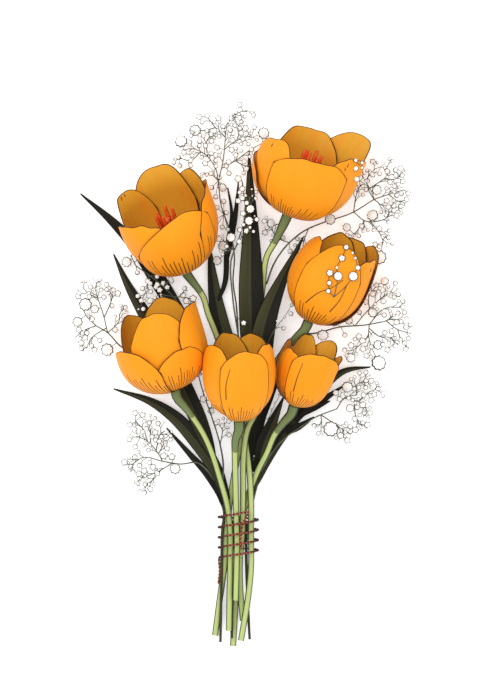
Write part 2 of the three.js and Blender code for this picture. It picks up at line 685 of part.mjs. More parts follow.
for (const [name, bloom] of Object.entries(BLOOMS)) {
  addPiece(name, bloomGeometry(bloom), COLOURS.petal, 0.5);
  addPiece(`${name}_stamens`, stamensGeometry(bloom), COLOURS.stamen, 0.7);
}
for (const [name, route] of Object.entries(STEMS)) {
  addPiece(name, stemGeometry(BLOOMS[name.replace("stem", "bloom")], route), COLOURS.stem, 0.55);
}
for (const [name, leaf] of Object.entries(LEAVES)) {
  addPiece(name, leafGeometry(leaf), COLOURS.leaf, 0.45);
}
for (const [name, spray] of Object.entries(SPRAYS)) {
  addPiece(name, sprayGeometry(spray), COLOURS.spray, 0.8);
}
addPiece("tie", tieGeometry(), COLOURS.tie, 0.85);

export default bunch;
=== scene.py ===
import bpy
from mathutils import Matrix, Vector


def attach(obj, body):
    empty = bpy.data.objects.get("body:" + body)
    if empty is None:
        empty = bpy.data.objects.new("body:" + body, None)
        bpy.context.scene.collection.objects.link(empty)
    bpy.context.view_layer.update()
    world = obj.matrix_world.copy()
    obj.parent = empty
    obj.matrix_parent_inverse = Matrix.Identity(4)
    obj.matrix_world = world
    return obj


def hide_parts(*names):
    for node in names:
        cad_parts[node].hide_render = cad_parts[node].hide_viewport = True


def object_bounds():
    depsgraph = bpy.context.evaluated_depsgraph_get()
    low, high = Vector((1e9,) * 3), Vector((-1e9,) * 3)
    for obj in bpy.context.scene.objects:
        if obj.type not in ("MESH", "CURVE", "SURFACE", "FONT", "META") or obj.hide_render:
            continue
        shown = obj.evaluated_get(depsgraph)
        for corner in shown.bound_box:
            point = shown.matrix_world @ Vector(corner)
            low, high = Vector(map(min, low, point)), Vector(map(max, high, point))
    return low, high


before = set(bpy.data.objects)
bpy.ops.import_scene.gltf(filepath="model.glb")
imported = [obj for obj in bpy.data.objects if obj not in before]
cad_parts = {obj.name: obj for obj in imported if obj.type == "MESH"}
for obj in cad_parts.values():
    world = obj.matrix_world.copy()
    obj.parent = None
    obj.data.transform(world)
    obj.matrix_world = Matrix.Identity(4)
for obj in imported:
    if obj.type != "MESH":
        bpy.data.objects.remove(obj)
CAD_BOX = [list(corner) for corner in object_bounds()]

import math
import random

import bpy
import numpy as np
from mathutils import Matrix, Vector, bvhtree, noise

bl_info = {
    "name": "Bunch of Tulips",
    "version": (1, 0, 0),
    "blender": (4, 5, 0),
    "location": "3D Viewport > Sidebar > Tulips",
    "description": "Tulips with baby's-breath, tied with a wound cord and laid on a surface",
    "category": "Add Mesh",
}

# ---- Driving dimensions: millimetres and degrees, in the layout that the solids have ---------

MM = 0.001
TO_ORIGIN = Vector((-1.35, 2.4, -0.2))  # from the layout's middle to the frame's origin

PETAL_LAYER_STEP = 2.2  # from one whorl layer to the next one inside it
PETAL_ROOT_AT = 0.02  # where petals start on the cup's meridian
PETAL_SHOULDER = 2.8  # more makes squarer shoulders
PETAL_LOWER_ROWS = 0.6  # share of a petal's rows below the widest place
PETAL_LOWER_LIMIT = 0.86  # the lower rows end at this share of a short petal's tip
CUP_ROUNDNESS = 2.2  # 2 is an ellipse, more is squarer
RECEPTACLE_RADIUS = 4.2
RECEPTACLE_TOP = 8
SEAT_GAP = 0.3  # between pieces that touch
NECK_STRAIGHT = 8  # the stem runs straight this far under its bloom
STEM_RADIUS = 2.4
LEAF_FOOT = 0.25  # width at the stem, as a share of the widest place
LEAF_WIDEST_POWER = 0.8  # under 1 brings the widest place nearer the foot
LEAF_TIP_HALF_WIDTH = 0.4
LEAF_CURL = 1.3  # 1 is a sharp fold, more is a rounder gutter
BILLOW_LENGTH = 9  # a larger one makes a spray's rise and fall longer

# base: where the stem meets the bloom; lean: degrees from +Y towards +X; rise: degrees up from the
# surface; height and radius of the cup; widest: how far up its widest place is, as a share of its
# height; stamens: their length as a share of the height. Azimuth 0 faces up from the surface and
# grows towards +X. close: how far the rim closes (-) or widens (+), as a share of the radius, at the
# azimuth given third, and opposite it.
# Each petal: [azimuth, half span, reach, layer, skew, roundness]. Reach is the tip's height as a
# share of the cup's. Layer 0 is the outermost. Skew lifts one shoulder over the other, and roundness
# is how far the shoulders drop.
BLOOMS = {
    "bloom_1": {
        "base": [-43.5, 83, 17.5], "lean": -20, "rise": 37, "height": 65, "radius": 37.5, "widest": 0.7,
        "stamens": 0.8, "close": [-0.24, 0.14, 0],
        "petals": [
            [2, 53, 0.96, 0, 0.11, 0.26], [-56, 50, 0.94, 1, 0.12, 0.2], [77, 46, 0.98, 0, 0.02, 0.3],
            [-126, 47, 0.99, 3, 0, 0.5], [172, 47, 1.04, 2, 0, 0.5], [126, 36, 0.97, 1, 0, 0.5],
        ],
    },
    "bloom_2": {
        "base": [35.5, 121.5, 25.3], "lean": 23, "rise": 17, "height": 60, "radius": 41, "widest": 0.64,
        "stamens": 0.86, "close": [-0.2, 0.1, -5],
        "petals": [
            [6, 43, 0.9, 0, 0.08, 0.16], [-54, 37, 0.92, 1, 0.14, 0.35], [64, 42, 1.04, 1, 0, 0.2],
            [-170, 47, 0.98, 3, 0, 0.4], [132, 48, 1.16, 2, 0, 0.4], [-100, 42, 0.55, 0, 0, 0.25],
        ],
    },
    "bloom_3": {
        "base": [-49.5, -10, 30], "lean": -17, "rise": 12, "height": 64, "radius": 33.9, "widest": 0.5,
        "stamens": 0.5, "close": [-0.28, 0.0, -60],
        "petals": [
            [21, 35, 0.52, 0, 0.02, 0.3], [0, 47, 1.0, 1, 0, 0.36], [66, 42, 0.96, 0.2, 0, 0.35],
            [-56, 46, 0.66, -0.5, -0.02, 0.46], [-130, 50, 0.93, 2.4, 0, 0.35],
            [160, 44, 0.99, 2, 0, 0.4],
        ],
    },
    "bloom_4": {
        "base": [51, 41, 24.2], "lean": 25, "rise": 11, "height": 65, "radius": 31.5, "widest": 0.52,
        "stamens": 0.5, "close": [-0.36, -0.12, -60],
        "petals": [
            [4, 44, 1.02, 0, 0, 0.32], [-62, 42, 0.95, 1, 0, 0.35], [70, 48, 0.96, 1, 0, 0.3],
            [-168, 48, 1.04, 3, 0, 0.4], [162, 46, 1.05, 2, 0, 0.4], [124, 42, 1.06, 0, 0, 0.35],
        ],
    },
    "bloom_5": {
        "base": [-1.5, -33, 38.8], "lean": 0, "rise": 16, "height": 62, "radius": 29.1, "widest": 0.58,
        "stamens": 0.5, "close": [-0.24, -0.08, 5],
        "petals": [
            [10, 39, 0.96, 0, 0.02, 0.2], [-54, 46, 0.98, 1, 0, 0.35], [62, 44, 0.98, 1, 0, 0.35],
            [-152, 50, 0.99, 3, 0, 0.35], [152, 48, 0.98, 2, 0, 0.35], [180, 40, 0.88, 0, 0, 0.3],
        ],
    },
    "bloom_6": {
        "base": [40, -22, 24.5], "lean": 19, "rise": 16, "height": 49.5, "radius": 23.3, "widest": 0.64,
        "stamens": 0.78, "close": [-0.26, 0.16, -60],
        "petals": [
            [18, 50, 0.98, 0, 0.04, 0.2], [-50, 46, 0.86, 1, 0, 0.28], [98, 42, 0.91, 1, 0, 0.35],
            [-150, 46, 1.04, 3, 0, 0.4], [148, 42, 1.03, 2, 0, 0.45], [-118, 24, 0.9, 0, 0, 0.4],
        ],
    },
}

# Each stem runs from under its bloom's straight neck through the tie to its cut end.
STEMS = {
    "stem_1": [
        [-28.5, 59, 10.5], [-25, 47, 11], [-18, 29, 11.5], [-7.5, -4, 11], [1, -37.5, 11.2],
        [6, -70, 13.5], [7.5, -94, 16], [7.5, -118, 16.8], [7.5, -145, 16], [5, -169, 15],
        [0, -199.5, 14],
    ],
    "stem_2": [
        [26, 101, 20], [19, 88, 20], [16, 64, 13.5], [12, 34, 7], [7.5, -4, 3.4], [1.5, -41, 3.4],
        [-6, -80, 8.5], [-11, -118, 11.6], [-12, -139, 10.9], [-16.5, -172.5, 4.8], [-19.5, -196, 2.6],
    ],
    "stem_3": [
        [-43, -22.5, 28], [-36.5, -31, 28], [-28.5, -43.5, 27], [-22, -58, 24.5], [-16, -77, 20.5],
        [-10, -99, 17], [-8, -118, 16], [-8, -139, 15], [-8.5, -165, 13], [-9, -192, 10.5],
    ],
    "stem_4": [
        [43.5, 30, 20.5], [36.5, 23, 13.5], [30, 15, 10.5], [24, 6, 9.8], [18, -10, 10.8],
        [12, -27, 15.2], [5, -41, 17.3], [2, -60, 18.2], [1.5, -90, 16], [1, -118, 14.5],
        [-1, -142.5, 14], [-0.5, -162, 11], [1.5, -184.5, 7.2],
    ],
    "stem_5": [
        [-4, -48, 33], [-4.5, -60, 31], [-4, -86, 24.5], [-3.5, -109, 20.8], [-3, -127.5, 20],
        [-3.5, -150, 19], [-4, -169, 18],
    ],
    "stem_6": [
        [31.5, -36, 23.5], [25, -45, 22.5], [19.5, -58, 20.5], [13, -71, 12.5], [7, -86, 7.8],
        [1.5, -105, 8.2], [-1.5, -120, 8], [-3, -146, 7.5], [-4, -169, 5], [-6, -204, 2.6],
    ],
}

# Each leaf's midrib runs from where it sits on a stem to its tip. Width is across both halves at
# the widest place, and fold is how far the edges stand up, as a share of the half width.
LEAVES = {
    "leaf_1": {
        "width": 13, "fold": 0.3,
        "route": [
            [-7, -10, 5.5], [-46, 45, 3.4], [-61, 69, 3.4], [-77, 94, 3.2], [-97, 115.5, 2.4],
            [-121, 136.5, 1],
        ],
    },
    "leaf_2": {
        "width": 14, "fold": 0.3,
        "route": [
            [-21, -61, 20.2], [-27, -46.5, 15], [-34.5, -28, 10], [-57, 19, 2.4], [-72, 45, 3],
            [-85, 67.5, 3.6], [-96, 91, 2],
        ],
    },
    "leaf_3": {
        "width": 15, "fold": 0.3,
        "route": [
            [1, -34, 7.1], [-2, -10, 6.8], [-8, 13, 6], [-14, 33, 5], [-19, 56, 5], [-22, 79, 4.4],
            [-24, 100, 3],
        ],
    },
    "leaf_4": {
        "width": 20, "fold": 0.32,
        "route": [
            [8, -7.5, 6.5], [8, 19, 10], [8, 45, 13.2], [7.5, 71, 17.5], [7.5, 97.5, 18.5],
            [7, 131, 14], [6, 168, 6],
        ],
    },
    "leaf_5": {
        "width": 19, "fold": 0.32,
        "route": [
            [15, -17, 16.3], [16, 0, 15.4], [15, 19, 17], [20, 45, 19.5], [30, 70, 17], [47, 104, 10],
        ],
    },
    "leaf_6": {
        "width": 12, "fold": 0.3,
        "route": [
            [-10, -94, 14], [-19, -71, 13.5], [-33, -50, 11], [-49.5, -32, 8], [-68, -20, 5],
            [-96, -10.5, 2],
        ],
    },
    "leaf_7": {
        "width": 6, "fold": 0.3,
        "route": [
            [-12.5, -100, 9], [-16.5, -88, 8.5], [-26, -73.5, 7.5], [-40, -58, 5.5], [-56, -40, 3],
        ],
    },
    "leaf_8": {
        "width": 8, "fold": 0.3,
        "route": [
            [11, -83, 5.8], [19, -65, 5.5], [30, -46.5, 6], [61, -10, 5], [78, 3, 4.5], [97.5, 6, 3],
        ],
    },
    "leaf_9": {
        "width": 10, "fold": 0.3,
        "route": [[9, -73, 8.8], [10, -49, 7.8], [14, -32, 8.5], [22, -15, 7], [32, 7, 5]],
    },
    "leaf_10": {
        "width": 11, "fold": 0.3,
        "route": [[13, -68, 10.2], [16.5, -53, 14.3], [23, -37, 14.5], [32, -16.5, 13.5]],
    },
}

# Each spray has a stalk, branches [x, y, x, y, …] that spread from it, and florets [x, y, width].
# Level is the spray's mean height above the surface, and billow how far it rises and falls.
SPRAYS = {
    "spray_1": {
        "level": 11, "billow": 6,
        "stalk": [
            [-3.5, -7.5, 13], [-2, 19, 13.5], [-3.5, 52, 12], [-6, 70, 11], [-5, 90, 10.5],
            [-9, 110, 10], [-15, 127.5, 9.5], [-17, 146, 9],
        ],
        "branches": [
            [-17, 146, -19, 155, -26, 165, -36, 170, -43, 169], [-26, 165, -26, 175, -22.5, 181],
            [-17, 145, -22.5, 151, -28.5, 152], [-17, 146, -13.5, 161, -12, 176, -11, 188],
            [-12, 178.5, -20, 187, -26, 195], [-11, 188, -4.5, 196, 5, 199],
            [-13, 167, -5, 175, 8, 180], [-16, 154, -4, 161, 7, 169, 16, 174],
            [-31, 169, -38, 161, -46, 163], [-20, 187, -28, 184, -34.5, 184],
            [-2, 175.5, -1, 185, -7, 193], [-4, 161, 4, 157, 11, 159],
        ],
        "florets": [
            [-45, 175.5, 10], [-34.5, 184, 9], [17, 181.5, 9], [-14, 141, 7], [-43, 167, 5],
            [-25.5, 195, 4.5], [-22.5, 181, 4.5], [-1, 185, 4.5], [10, 186, 4.5], [11, 159, 4.5],
            [-38, 161, 4.5], [-13.5, 97, 8], [-18, 86, 7],
        ],
    },
    "spray_2": {
        "level": 25, "billow": 1.5,
        "stalk": [
            [-2.5, -7, 14.6], [-1, 19, 17.5], [-6, 56, 18.5], [-7.5, 85, 23], [-2, 101, 24.5],
            [3, 120, 25], [1, 145, 23],
        ],
        "branches": [
            [-1, 105, 4, 109.5, 7, 115.5], [2, 119, 7, 125, 6, 133], [-7, 85, -8, 94, -11, 101],
        ],
        "florets": [
            [-2, 147, 6], [1, 139.5, 5], [-2, 130.5, 5], [7, 124.5, 7], [1.5, 121, 5], [6, 115.5, 7],
            [4, 108, 5], [-7.5, 103, 7.5], [-1.5, 100, 4.5], [2, 39, 4.5],
        ],
    },
    "spray_3": {
        "level": 9, "billow": 4,
        "stalk": [[-58, 4.5, 4.6], [-78, 13.5, 5.5], [-91, 22, 7], [-100, 31.5, 9], [-109, 37, 9]],
        "branches": [
            [-101, 33, -104, 47, -108, 58.5, -109.5, 65], [-102, 43, -97.5, 56, -96, 64.5],
            [-109, 37, -117, 34, -125, 28], [-109, 37, -116, 44, -119, 50],
            [-98, 29, -92, 40, -91.5, 46], [-104, 34, -112, 28, -116, 20],
            [-108, 56, -115, 61.5, -119, 66],
        ],
        "florets": [
            [-117, 53, 10], [-123, 40, 8], [-100.5, 19, 10], [-110, 49.5, 6.5], [-101, 68, 4.5],
            [-107, 68, 4.5], [-96, 64, 4.5],
        ],
    },
    "spray_4": {
        "level": 7.4, "billow": 3,
        "stalk": [[-20, -79, 10.5], [-26, -71, 10.4], [-33, -66, 10], [-46, -67, 9], [-59, -65, 8]],
        "branches": [
            [-58, -65, -63, -58, -71, -49.5, -79, -46], [-71, -49.5, -73.5, -41, -79.5, -35],
            [-62, -58.5, -57, -50], [-64.5, -55.5, -61, -45, -57, -42],
            [-61, -64.5, -73, -62, -83, -68], [-53, -66, -64, -73.5, -77, -78],
            [-61, -73, -67, -79.5, -72, -82.5], [-68, -53, -68, -43, -69, -37],
        ],
        "florets": [
            [-49.5, -70.5, 8.5], [-52, -61.5, 6], [-58, -61, 6], [-69, -66, 4.5], [-79.5, -28.5, 5],
            [-57, -51, 4.5], [-67, -46.5, 4.5], [-79.5, -54, 4.5], [-83, -69, 4.5], [-76.5, -78, 4.5],
            [-72, -82.5, 4.5],
        ],
    },
    "spray_5": {
        "level": 9, "billow": 4,
        "stalk": [
            [19, 68, 12], [25, 84, 11], [34, 97, 10], [47, 108, 9], [63, 115, 8.5], [82.5, 121.5, 9],
            [100, 132, 10],
        ],
        "branches": [
            [100, 131, 106.5, 127.5, 115, 127.5], [88, 126, 87, 136.5, 90, 143],
            [94, 131, 96, 139, 95, 148, 101, 155], [97.5, 140, 104, 145, 110, 150, 109.5, 157],
            [109, 147, 115, 147, 121, 150], [101, 134, 112, 136, 122, 139],
            [112.5, 135, 118.5, 130.5, 124.5, 132], [83, 121.5, 94.5, 115.5, 109.5, 118, 112, 123],
            [98, 115.5, 104, 107, 107, 100], [92, 115.5, 87, 108, 84, 103.5],
            [31.5, 94.5, 26, 104, 22.5, 113], [47, 108, 47, 100, 46.5, 91.5],
        ],
        "florets": [
            [102, 139, 8], [99, 120, 9], [79.5, 111, 6.5], [67, 117, 8.5], [104, 88.5, 11],
            [121, 150, 4.5], [124.5, 132, 4.5], [115, 127, 4.5], [107, 104, 4.5], [22.5, 114, 7],
            [18, 107, 5], [31.5, 103, 4.5],
        ],
    },
    "spray_6": {
        "level": 10, "billow": 5,
        "stalk": [
            [44, 33, 15.8], [51, 31, 15.2], [59, 32, 14], [74, 36, 11], [93, 37.5, 10], [107, 40, 10],
        ],
        "branches": [
            [107, 40, 114, 42, 121, 40.5], [84, 37.5, 94, 47, 107, 59, 113, 63],
            [95, 50, 96, 58, 102, 67.5], [97, 40, 107, 49.5, 121.5, 51], [94, 37, 96, 29, 98, 21],
            [98, 35, 104, 29, 112, 28, 118, 22.5], [109.5, 39, 117, 34.5, 128, 31],
            [117, 34, 120, 27, 123, 24], [96, 29, 91, 24, 85, 19], [107, 43, 118, 46.5],
        ],
        "florets": [
            [61.5, 30, 9], [70, 40, 7.5], [81, 41, 6.5], [99, 47, 8], [108, 70.5, 6.5],
            [103, 22.5, 7.5], [103.5, 9, 12], [82.5, 13, 7.5], [88.5, 29, 5], [102, 67.5, 4.5],
            [121.5, 51, 4.5], [123, 24, 4.5], [98, 21, 4.5],
        ],
    },
    "spray_7": {
        "level": 10, "billow": 3,
        "stalk": [
            [15, -72.5, 7.6], [23, -58.5, 9.6], [34, -46.5, 10.5], [45, -39, 10], [55.5, -32, 9.5],
            [72, -25.5, 9.5],
        ],
        "branches": [
            [69, -25.5, 78, -17, 87, -15], [85.5, -15, 87, -7.5, 94, -4.5],
            [79.5, -19, 90, -21, 96, -28.5], [85.5, -21, 87, -34, 91.5, -39],
            [63, -29, 70.5, -37, 78, -43, 75, -48], [90, -20, 96, -13, 103, -10.5],
            [58.5, -31.5, 61, -40],
        ],
        "florets": [
            [80, -9, 9], [67.5, -40.5, 12], [91.5, -22.5, 6], [82, -25, 6.5], [98, -4.5, 5],
            [103, -10.5, 4.5], [97, -28.5, 4.5], [78, -43, 4.5],
        ],
    },
    "spray_8": {
        "level": 8.5, "billow": 1.5,
        "stalk": [[-31, 28, 6.7], [-41, 46, 6.9], [-52, 60, 8], [-65, 72, 8.5], [-79, 82, 8.5]],
        "branches": [
            [-65, 72, -71, 64, -75, 56], [-50, 58.5, -43, 58.5, -37, 57], [-76, 80, -83, 90],
            [-55, 63, -61, 61],
        ],
        "florets": [
            [-86, 85, 8], [-70, 70.5, 5], [-63, 68, 5], [-55.5, 66, 4.5], [-53, 72, 4.5],
            [-43.5, 60, 5], [-36, 57.5, 6], [-75, 56, 4.5],
        ],
    },
    "spray_9": {
        "level": 14, "billow": 1,
        "stalk": [
            [-13.5, -80, 16.8], [-13.5, -65, 16.5], [-16.5, -49, 16.5], [-22.5, -30, 15.5],
            [-28.5, -13, 12], [-32, 0, 10],
        ],
        "branches": [[-16.5, -49, -14, -43, -14, -38], [-24, -28, -21, -22]],
        "florets": [[-32, 1.5, 6], [-28.5, -18, 6], [-22.5, -27, 6], [-14, -38, 4.5]],
    },
}

# Florets and buds that the solids leave out, as [x, y, width].
SPRAY_DETAIL = {
    "spray_1": [
        [-47, 163.5, 4], [-31.5, 194, 5], [-17, 193, 5], [-1, 203, 5], [-7, 193, 5], [8, 169, 4],
        [4, 155, 5], [-27, 159, 5], [-46, 157, 4], [-18, 171, 5], [-31, 175.5, 4], [-7, 169, 5],
        [-22, 141, 4], [1.5, 177, 4], [-19, 161, 4], [-11, 157, 4], [-22.5, 151.5, 4],
        [-16.5, 148.5, 4], [-9, 151.5, 4], [-19, 134, 4], [-13, 130.5, 4.2], [-18, 126, 4],
        [-11, 122, 4], [-19, 117, 4], [-14, 111, 4], [-21, 108, 4], [-10, 109.5, 3.6],
    ],
    "spray_3": [
        [-120, 24, 5], [-119, 31.5, 4], [-113, 66, 4], [-103, 58.5, 4], [-110, 19, 5], [-106, 26, 4],
        [-94.5, 34, 5], [-112, 42, 5], [-97, 52, 4],
    ],
    "spray_4": [[-74, -30, 5], [-69, -36, 4], [-80, -62, 5], [-63, -74, 5], [-64, -49, 4]],
    "spray_5": [
        [95, 146, 4], [101, 98, 5], [116, 154, 4], [115.5, 142, 5], [120, 127, 4], [91, 112, 5],
        [104, 110, 5], [37, 93, 4], [117, 135, 4],
    ],
    "spray_6": [
        [118, 46.5, 4], [94, 55, 5], [107, 55.5, 5], [115, 58.5, 4], [113, 33, 5], [106.5, 23, 4],
        [89, 47, 4], [127, 37.5, 4], [110, 19, 5], [78, 30, 4], [116, 69, 4],
    ],
    "spray_7": [[85.5, -33, 5], [94, -4.5, 4], [98, -19, 5], [82, -39, 4], [74, -18, 5], [55, -38, 4]],
    "spray_8": [
        [-78, 77, 4], [-76, 88, 4], [-68, 69, 4], [-63, 74, 4], [-58.5, 69, 4.6], [-64, 66, 4.6],
        [-52, 70.5, 3.6],
    ],
    "spray_9": [[-26, -7.5, 4]],
}

# Sprigs that lie on another piece: the spray they grow from, the solid they lie on, their twigs
# [x, y, x, y, …] and their florets [x, y, width].
LAID_SPRIGS = [
    {
        "of": "spray_6", "on": "bloom_4",
        "twigs": [
            [69, 58, 65.5, 63, 65, 69, 66, 76.5], [69, 58, 71, 66, 72, 73.5, 71, 80, 75, 87, 78, 95],
            [69, 58, 78, 66, 83, 73.5, 86.5, 80, 85, 87, 83, 91],
        ],
        "florets": [
            [78, 95, 4.2], [75, 87, 5.6], [83, 91, 2.4], [85, 87, 2.4], [87, 80, 4.6],
            [83.5, 73.5, 7.6], [72, 73.5, 7.3], [66, 76, 5.7], [71, 80, 2.7], [65.5, 68.5, 3.9],
            [65, 62.5, 3.8],
        ],
    },
    {
        "of": "spray_5", "on": "bloom_2",
        "twigs": [
            [100, 132.5, 97, 140, 91, 145, 86, 146], [97, 140, 91.5, 148.5, 85.5, 153.5],
            [91.5, 148.5, 90.5, 154, 90, 158], [90.5, 154, 87, 157.5, 85, 159.5],
        ],
        "florets": [
            [86, 146, 5], [85.5, 153.5, 4.7], [90, 154.5, 2.7], [90, 158, 2.8], [85, 159.5, 3.1],
            [92.5, 151.5, 3], [91.5, 142, 3.4], [94, 146, 2.6],
        ],
    },
    {
        "of": "spray_7", "on": "leaf_9",
        "twigs": [[9, -64.5, 13, -54, 17, -42, 22.5, -28.5, 28.5, -16.5]],
        "florets": [
            [10, -61, 1.6], [13, -53, 1.8], [14, -46.5, 1.5], [18, -40, 1.8], [20, -33, 1.6],
            [23, -26, 1.9], [25.5, -21, 1.7], [29, -15, 2.2],
        ],
    },
    {
        "of": "spray_6", "on": "leaf_5",
        "twigs": [[19, 22, 25.5, 34.5, 33, 44, 38, 52.5], [25.5, 34.5, 30, 36, 32, 35]],
        "florets": [[32, 35, 3.4], [37.5, 46, 3.8], [38, 52.5, 3], [33, 43.5, 2.2], [27, 40.5, 2.2]],
    },
]

# Dark lines along folds of the petals, painted shade of their creases, as [x, y, x, y, …] from the thick
# end.
FOLDS = {
    "bloom_1": [[-89.5, 133, -89, 130], [-87, 135, -86.5, 133]],
    "bloom_2": [[79, 154.5, 80, 157], [77, 152, 78, 154], [22.5, 170, 24, 172.5]],
    "bloom_4": [[48, 54, 57, 61, 67.5, 65, 76, 70.5], [96.5, 77, 97, 80], [66, 47, 73.5, 56, 79, 67.5]],
    "bloom_5": [[-11, -18, -11, -7, -8, 4.5]],
    "bloom_6": [[39, -12, 42, -1.5, 46, 9]],
}
FOLD_RADIUS = 0.42  # at the thick end
FOLD_STEP = 2.5  # the most that a fold rises or drops between its places

# The cord's lead runs slantwise down the front, then the cord winds round the stems and its tail
# hangs at the side.
TIE = {
    "radius": 0.95,
    "centre": [-2, 14.2],  # x and z of the middle of its turns
    "half_width": 14.8,
    "half_depth": 11.4,
    "turns": 4,
    "per_turn": 12,  # points on each turn
    "first": 2,  # the point of the first turn that the lead runs into
    "last": 5,  # points past the last whole turn, where the tail starts
    "pitch": 7.6,
    "slant": 0.9,  # each turn stands this much higher at the right than at its middle
    "start": -102,  # y of the first turn
    "lead": [[0.5, -130.5, 26.6], [-0.5, -124, 28.2], [0.5, -115.5, 28.2], [2.5, -109, 27.4]],
    "tail": [[-16.5, -137.5, 15], [-16, -147, 13.5], [-17, -157, 11]],
}


# ---- Lines and blades ------------------------------------------------------------------------

REST_GAP = 0.02  # between the surface and what rests on it, in millimetres
SETTLE_BELOW = 3.0  # a piece gives way only below this height
ROUTE_STEPS = 200  # a route's length is measured over this many chords


def in_frame(place):
    """A place in the layout, in millimetres, as a place in the frame, in metres."""
    return (Vector(place) + TO_ORIGIN) * MM


def pairs(flat):
    """[x, y, x, y, …] as [(x, y), (x, y), …]."""
    return list(zip(flat[::2], flat[1::2]))


class Route:
    """A smooth line through points, as the solids' centripetal Catmull-Rom lines are."""

    def __init__(self, points):
        self.points = [Vector(p) for p in points]
        steps = self.places(ROUTE_STEPS)
        self.lengths = [0.0]
        for a, b in zip(steps, steps[1:]):
            self.lengths.append(self.lengths[-1] + (b - a).length)
        self.length = self.lengths[-1]

    def at(self, share):
        """The place at this share of the line's own parameter."""
        pts = self.points
        whole = min(max(share, 0.0), 1.0) * (len(pts) - 1)
        i = min(int(whole), len(pts) - 2)
        w = whole - i
        p1, p2 = pts[i], pts[i + 1]
        p0 = pts[i - 1] if i else p1 * 2 - p2
        p3 = pts[i + 2] if i + 2 < len(pts) else p2 * 2 - p1
        d0, d1, d2 = (max((b - a).length, 1e-8) ** 0.5 for a, b in ((p0, p1), (p1, p2), (p2, p3)))
        t1 = ((p1 - p0) / d0 - (p2 - p0) / (d0 + d1) + (p2 - p1) / d1) * d1
        t2 = ((p2 - p1) / d1 - (p3 - p1) / (d1 + d2) + (p3 - p2) / d2) * d1
        square, cube = w * w, w * w * w
        return (p1 * (2 * cube - 3 * square + 1) + p2 * (3 * square - 2 * cube)
                + t1 * (cube - 2 * square + w) + t2 * (cube - square))

    def heading(self, share):
        """The line's direction at this share of its parameter."""
        step = 1e-3
        return (self.at(min(share + step, 1)) - self.at(max(share - step, 0))).normalized()

    def spaced(self, share):
        """The parameter at this share of the line's length."""
        return float(np.interp(share * self.length, self.lengths, np.linspace(0, 1, ROUTE_STEPS + 1)))

    def places(self, steps):
        """The places at even steps of the parameter, with both ends."""
        return [self.at(i / steps) for i in range(steps + 1)]

    def places_spaced(self, steps):
        """The places at even steps of the length, with both ends."""
        return [self.at(self.spaced(i / steps)) for i in range(steps + 1)]


def grid_piece(name, across, along, place, turn_over=False):
    """A grid shaped by place(u, v), with u from -1 to 1 across and v from 0 to 1 along."""
    bpy.ops.object.select_all(action="DESELECT")
    bpy.ops.mesh.primitive_grid_add(x_subdivisions=across, y_subdivisions=along, size=2)
    piece = bpy.context.object
    piece.name = piece.data.name = name
    for vertex in piece.data.vertices:
        u, v = vertex.co.x, (vertex.co.y + 1) / 2
        vertex.co = in_frame(place(u, v))
    if turn_over:
        piece.data.flip_normals()
    return piece


def choose(piece):
    """Selects one piece alone, and makes it the active one."""
    bpy.ops.object.select_all(action="DESELECT")
    piece.select_set(True)
    bpy.context.view_layer.objects.active = piece


def store(piece, key, values):
    """Stores a value on each point of a piece, for its finish to read."""
    layer = piece.data.attributes.new(key, "FLOAT", "POINT")
    layer.data.foreach_set("value", np.array(values, dtype=np.float32))


def middle_on_map(piece, face, axis):
    """The middle of a face along one axis of the piece's map."""
    layer = piece.data.uv_layers.active.data
    return sum(layer[loop].uv[axis] for loop in face.loop_indices) / len(face.loop_indices)


def mark_edge(piece, open_foot=True):
    """Stores on each point of a grid how far it is from the blade's margin, in millimetres."""
    mesh = piece.data
    mesh.update()
    uses = {}
    for face in mesh.polygons:
        for key in face.edge_keys:
            uses[key] = uses.get(key, 0) + 1
    foot = {}
    layer = mesh.uv_layers.active.data
    for loop in mesh.loops:
        foot[loop.vertex_index] = layer[loop.index].uv.y
    rim = []
    for (a, b), count in uses.items():
        at_foot = foot[a] + foot[b] < 1e-3
        if count == 1 and not (open_foot and at_foot):
            start, end = mesh.vertices[a].co, mesh.vertices[b].co
            rim += [start.lerp(end, share) for share in (0, 0.25, 0.5, 0.75)]
    rim = np.array(rim)
    points = np.array([v.co for v in mesh.vertices])
    gaps = np.sqrt(((points[:, None, :] - rim[None, :, :]) ** 2).sum(2).min(1)) / MM
    store(piece, "edge_mm", gaps)


def thicken(piece, thickness, inner=1, rim=2):
    """Gives a blade its thickness, evenly to both sides, and its inner and rim materials."""
    choose(piece)
    bpy.ops.object.modifier_add(type="SOLIDIFY")
    wall = piece.modifiers[-1]
    wall.thickness = thickness * MM
    wall.offset = 0
    wall.material_offset = inner
    wall.material_offset_rim = rim
    bpy.ops.object.modifier_apply(modifier=wall.name)


def round_row(v, steps):
    """The row of a closed tube at v, from 0 to steps, and whether it is one that shuts an end."""
    row = round(v * (steps + 2)) - 1
    kept = min(max(row, 0), steps)
    return kept, kept != row


def tube_piece(name, route, radius_at, sides, steps, top=(0, 0, 1)):
    """A closed round stalk along a route. radius_at(share of its length) is in millimetres. The
    map runs round it from below, through 0.5 at the top, and along it from its start."""

    def place(u, v):
        row, shut = round_row(v, steps)
        t = route.spaced(row / steps)
        heading = route.heading(t)
        side = heading.cross(Vector(top)).normalized()
        up = side.cross(heading)
        radius = 0 if shut else radius_at(row / steps)
        return route.at(t) + (side * math.sin(u * math.pi) + up * math.cos(u * math.pi)) * radius

    piece = grid_piece(name, sides, steps + 2, place, turn_over=True)
    close_seams(piece)
    return piece


def tree_of(pieces):
    """A search tree of these pieces' faces, in the frame."""
    corners, faces = [], []
    for piece in pieces:
        start = len(corners)
        corners += [v.co[:] for v in piece.data.vertices]
        faces += [[start + i for i in face.vertices] for face in piece.data.polygons]
    return bvhtree.BVHTree.FromPolygons(corners, faces)


